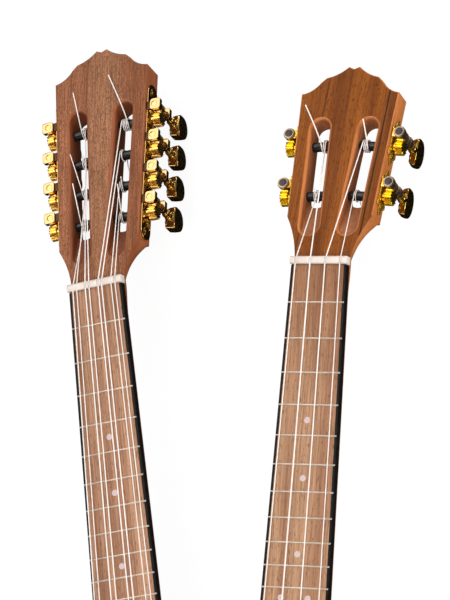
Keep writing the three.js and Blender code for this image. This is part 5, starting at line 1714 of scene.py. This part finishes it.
def plate_outline(head, low_end, high_end, steps=16):
    """Both ends are round on the long plates and pointed like a leaf on the short ones."""
    front = -head["plate_front"]
    back_edge = front - head["plate_width"]
    middle, lobe = (front + back_edge) / 2, head["lobe_width"] / 2
    low_line, high_line = low_end + lobe * 2, high_end - lobe * 2
    if head["leaf_ends"]:
        end = [(lobe * share, y) for share, y in LEAF]
        end += [(0, lobe * 2 + LEAF_TIP)] + [(-z, y) for z, y in reversed(end)]
    else:
        angles = [math.pi * step / steps for step in range(steps + 1)]
        end = [(lobe * math.cos(angle), lobe + lobe * math.sin(angle)) for angle in angles]
    outline = [(middle + z, low_line - y) for z, y in reversed(end)]
    if not head["leaf_ends"]:
        outline = [(back_edge, high_line), (back_edge, low_line), *outline]
        outline += [(front, low_line), (front, high_line)]
    return outline + [(middle + z, high_line + y) for z, y in end], middle, lobe


print("plates are", [head["plate_width"] for head in HEADS.values()], "mm wide")

# %% Bearings
PLATE_SHEET, BORE_PLAY, TOP_LEVEL = 0.9, 0.1, -0.5
BLOCK_PROUD, BLOCK_CORNER, BLOCK_EDGE = 0.4, 1.7, 0.35
BLOCK_SETBACK = {-1: 0.45, 1: 0.9}


def square_block(half, inner, low, high):
    """A block with rounded corners."""
    block = brick((-inner, -half, low), (half + BLOCK_PROUD, half, high))
    for level, offset, segments in ((False, BLOCK_CORNER, 5), (True, BLOCK_EDGE, 3)):
        round_edges(block, [edge for edge in block.edges if is_level(edge) == level], offset, segments)
    return block


def bearing(head, side, low, high, is_top, at_worm):
    """One bearing: its barrel, its gold trim and its dark parts."""
    half = head["bearing_half"]
    bore = rod(CORE + BORE_PLAY, low - 2, high + 2, 24, at_worm)
    if head["square_bearings"]:
        block = square_block(half, half - BLOCK_SETBACK[side], low, high)
        block.transform(at_worm)
        return [carve(block, [bore])], [], []
    barrel = carve(rod(half, low, high, 40, at_worm, bevel=0.5), [bore])
    if is_top:
        opening = rod(half * 0.68, high - 1, high + 1, 32, at_worm)
        ring = carve(rod(half * 0.9, high - 0.3, high + 0.3, 40, at_worm, bevel=0.25), [opening])
        return [barrel, ring], [], [rod(half * 0.67, high - 0.2, high + 0.12, 32, at_worm, bevel=0.1)]
    second = rod(half * 0.84, low - 2.9, low + 0.3, 32, at_worm, bevel=0.4)
    return [barrel, second], [rod(half * 0.88, low - 2.4, low - 1.9, 32, at_worm, bevel=0.15)], []


print("bearings are bored", round(2 * (CORE + BORE_PLAY), 1), "mm wide")

# %% Plates with their bearings


def plate_with_bearings(head, side, heights):
    """A plate for one or more worms: its gold parts, its screws, its barrels, its dark parts, its frame."""
    base = heights[-1]
    low_end, high_end = -head["plate_below"], heights[0] - base + head["plate_above"]
    outline, middle, lobe = plate_outline(head, low_end, high_end)
    sheet = slab([(side * y, z) for z, y in outline], GLUE_LINE, GLUE_LINE + PLATE_SHEET, ALONG_X)
    rear_top, foot_half = -head["rear_depth"], head["bearing_half"] * 0.75
    gold, cutters, barrels, dark = [], [], [], []
    for height in heights:
        post_y = side * (height - base)
        y = side * (height - base + CENTRES)
        at_post = Matrix.Translation((0, post_y, -head["post_depth"])) @ ALONG_X
        at_worm = Matrix.Translation((head["reach"], y, 0))
        cutters.append(rod(ROLLER_RADIUS + ROLLER_PLAY, -3, 6, 24, at_post))
        for high, setback, is_top in ((TOP_LEVEL, 1.2, True), (rear_top, 0.3, False)):
            low = high - head["bearing"]
            foot = brick(
                (GLUE_LINE, y - foot_half, low + 0.2), (head["reach"] - 1, y + foot_half, high - setback), 0.3
            )
            # On the longer head the upper feet go with the dark parts: painted dark brown as the shade
            # between block and head.
            (dark if head["square_bearings"] and is_top else gold).append(foot)
            new_barrels, new_gold, new_dark = bearing(head, side, low, high, is_top, at_worm)
            barrels += new_barrels
            gold += new_gold
            dark += new_dark
    sheet = carve(sheet, cutters, round_by=0.3, segments=3)
    size = 1.3 if head["leaf_ends"] else lobe * 0.52
    screws = []
    for y, inward in ((low_end, 1), (high_end, -1)):
        on_sheet = Vector((GLUE_LINE + PLATE_SHEET - 0.1, side * (y + inward * lobe * 0.85), middle))
        screws.append(screw_head(size, Matrix.Translation(on_sheet) @ ALONG_X, size * 0.5))
    shapes = gather(sheet, *gold), gather(*screws), gather(*barrels), gather(*dark)
    return *shapes, side_frame(head, side, base)


print("plates are", PLATE_SHEET, "mm thick")

# %% [markdown]
# Twelve machines differ only in their place, so each shape is made once for a side of a head, kept as a
# mesh, and copied to every post. The worm and its button ride on one body, the post's roller and gear
# on another, and the plates stay with the instrument.

# %% Machines on both heads
METALS = {
    "eight_string": dict(
        machine_plate=left_gold, plate_screws=dark_gold, bearings=block_gold, shaded_bearing_feet=shaded_foot_metal,
        gear=left_gear_gold, worm=left_gear_gold, button=left_gold, roller=roller_black,
    ),
    "four_string": dict(
        machine_plate=plate_gold, plate_screws=right_gold, bearings=bush_metal, worm_ends=dark_metal,
        gear=right_gear_gold, worm=bush_metal, button=right_gold, roller=roller_black,
    ),
}
for name, head in HEADS.items():
    metals = METALS[name]
    plate_labels = list(metals)[:4]
    blanks = {label: mesh_from(bm, label) for label, bm in zip(("roller", "gear"), roller_and_gear(head))}
    for side, side_name in ((-1, "left"), (1, "right")):
        groups = [head["posts"]] if head["shared_plate"] else [(height,) for height in head["posts"]]
        for index, heights in enumerate(groups):
            tag = f"{name}_{side_name}" + (f"_{index + 1}" if len(groups) > 1 else "")
            *shapes, at = plate_with_bearings(head, side, heights)
            for label, bm in zip(plate_labels, shapes):
                finish_piece(
                    bm, f"{label}_{tag}", "instrument", metals[label], head_frame(head) @ at,
                    replaces=[f"tuner_plate_{tag}"] if label == "machine_plate" else (),
                )
        for label, bm in zip(("worm", "button"), button_and_shaft(head, side)):
            blanks[label] = mesh_from(bm, label)
        for index, height in enumerate(head["posts"]):
            tag = f"{name}_{side_name}_{index + 1}"
            at = head_frame(head) @ side_frame(head, side, height)
            axle = at @ Matrix.Translation((0, 0, -head["post_depth"]))
            spindle = at @ Matrix.Translation((head["reach"], side * CENTRES, 0))
            for label, body, place in (
                ("roller", f"string_post_{tag}", axle), ("gear", f"string_post_{tag}", axle),
                ("worm", f"worm_shaft_{tag}", spindle), ("button", f"worm_shaft_{tag}", spindle),
            ):
                finish_piece(
                    bmesh_from(blanks[label]), f"{label}_{tag}", body, metals[label], place,
                    replaces=[body] if label in ("roller", "worm") else (),
                )
    print("machines of", name, "are on")

# %% [markdown]
# ## Strings
# A string is one nylon thread. It starts in a knot behind the bridge, runs over the saddle and the nut
# down to its post, winds round it and ends in a cut tail that nobody trimmed. The path is worked out
# once, and a curve with a round bevel follows it.

# %% String paths
WINDING_GAP, KNOT_LENGTH = 0.45, 2.2
KNOT = ((0, 0.6), (0.3, 1.1), (1.1, 1.3), (1.8, 1.0))


def wound_part(head, string, from_nut, winding_steps=28, tail_steps=10):
    """Points in the machine's frame, from where a string meets its post to the end of its tail."""
    radius, side = string["diameter"] / 2, string["side"]
    wind = ROLLER_RADIUS + STRING_PLAY + radius
    back, rise = side * from_nut.y, from_nut.z + head["post_depth"]
    start = -(math.atan2(-rise, -back) + math.asin(wind / math.hypot(back, rise)))
    lift = string["lift"]
    end = 2 * math.pi * (string["turns"] + 1) - lift
    steps = round((end - start) / (2 * math.pi) * winding_steps)
    pitch = string["diameter"] + WINDING_GAP
    turns = []
    for step in range(steps + 1):
        angle = start + (end - start) * step / steps
        turns.append(Vector((
            -head["insets"][string["post"]] + pitch * (angle - start) / (2 * math.pi),
            side * wind * math.sin(angle),
            -head["post_depth"] + wind * math.cos(angle),
        )))
    leave = Vector((0, side * math.cos(lift), math.sin(lift)))
    tail_x, tail_y, tail_z = string["tail"]
    reach = Vector((side * tail_x, side * tail_y, tail_z))
    handle = turns[-1] + leave * (reach.length / 5)
    return turns + [Vector(p) for p in curve_points(turns[-1], handle, turns[-1] + reach, tail_steps)]


def string_path(head, string):
    """Points in the neck's frame, with the radius at each."""
    radius = string["diameter"] / 2
    machine = side_frame(head, string["side"], head["posts"][string["post"]])
    to_neck = neck_frame(head).inverted() @ head_frame(head) @ machine
    at_nut = Vector((string["nut"], NUT_BREAK, ACTION_AT_NUT + radius))
    wound = wound_part(head, string, to_neck.inverted() @ at_nut)
    x, knot_end = string["saddle"], BLOCK_BACK - GLUE_LINE - KNOT_LENGTH
    points = [((x, knot_end + y, TIE_HEIGHT), knot_radius) for y, knot_radius in KNOT]
    points += [(place, radius) for place in (
        (x, BLOCK_BACK - 0.1, TIE_HEIGHT), (x, BLOCK_BACK + 8.2, TIE_HEIGHT),
        (x, -SCALE_LENGTH - 1.0, ACTION_AT_SADDLE + radius - 0.3),
        (x, -SCALE_LENGTH, ACTION_AT_SADDLE + radius), (string["nut"], 0.4, ACTION_AT_NUT + radius), at_nut,
    )]
    return [(Vector(place), width) for place, width in points] + [(to_neck @ p, radius) for p in wound]


print("windings lie", WINDING_GAP, "mm apart")

# %% Strings
for name, head in HEADS.items():
    at = METRES @ neck_frame(head)
    for index, string in enumerate(STRINGS[name]):
        points = string_path(head, string)
        data = bpy.data.curves.new(f"nylon_{name}_{index + 1}", "CURVE")
        data.dimensions = "3D"
        data.bevel_depth = 0.001
        data.bevel_resolution = 3
        data.use_fill_caps = True
        line = data.splines.new("POLY")
        line.points.add(len(points) - 1)
        for target, (point, radius) in zip(line.points, points):
            target.co = (*(at @ point), 1)
            target.radius = radius
        line.use_smooth = True
        data.materials.append(nylon)
        thread = add_object(f"nylon_{name}_{index + 1}", data)
        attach(thread, "instrument")
        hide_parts(f"string_{name}_{index + 1}")
print("strings:", sum(len(row) for row in STRINGS.values()))

# %% [markdown]
# ## Pieces inside the body
# The blocks and braces keep their solids from the model and get their woods.

# %% Inside
INSIDE_WOODS = {
    "neck_block": block_wood, "tail_block": block_wood, "top_braces": spruce, "back_braces": spruce,
}
for node_name, material in INSIDE_WOODS.items():
    inner = frame["nodes"][node_name]
    inner.data.materials.clear()
    inner.data.materials.append(material)
print("inside pieces have their woods")
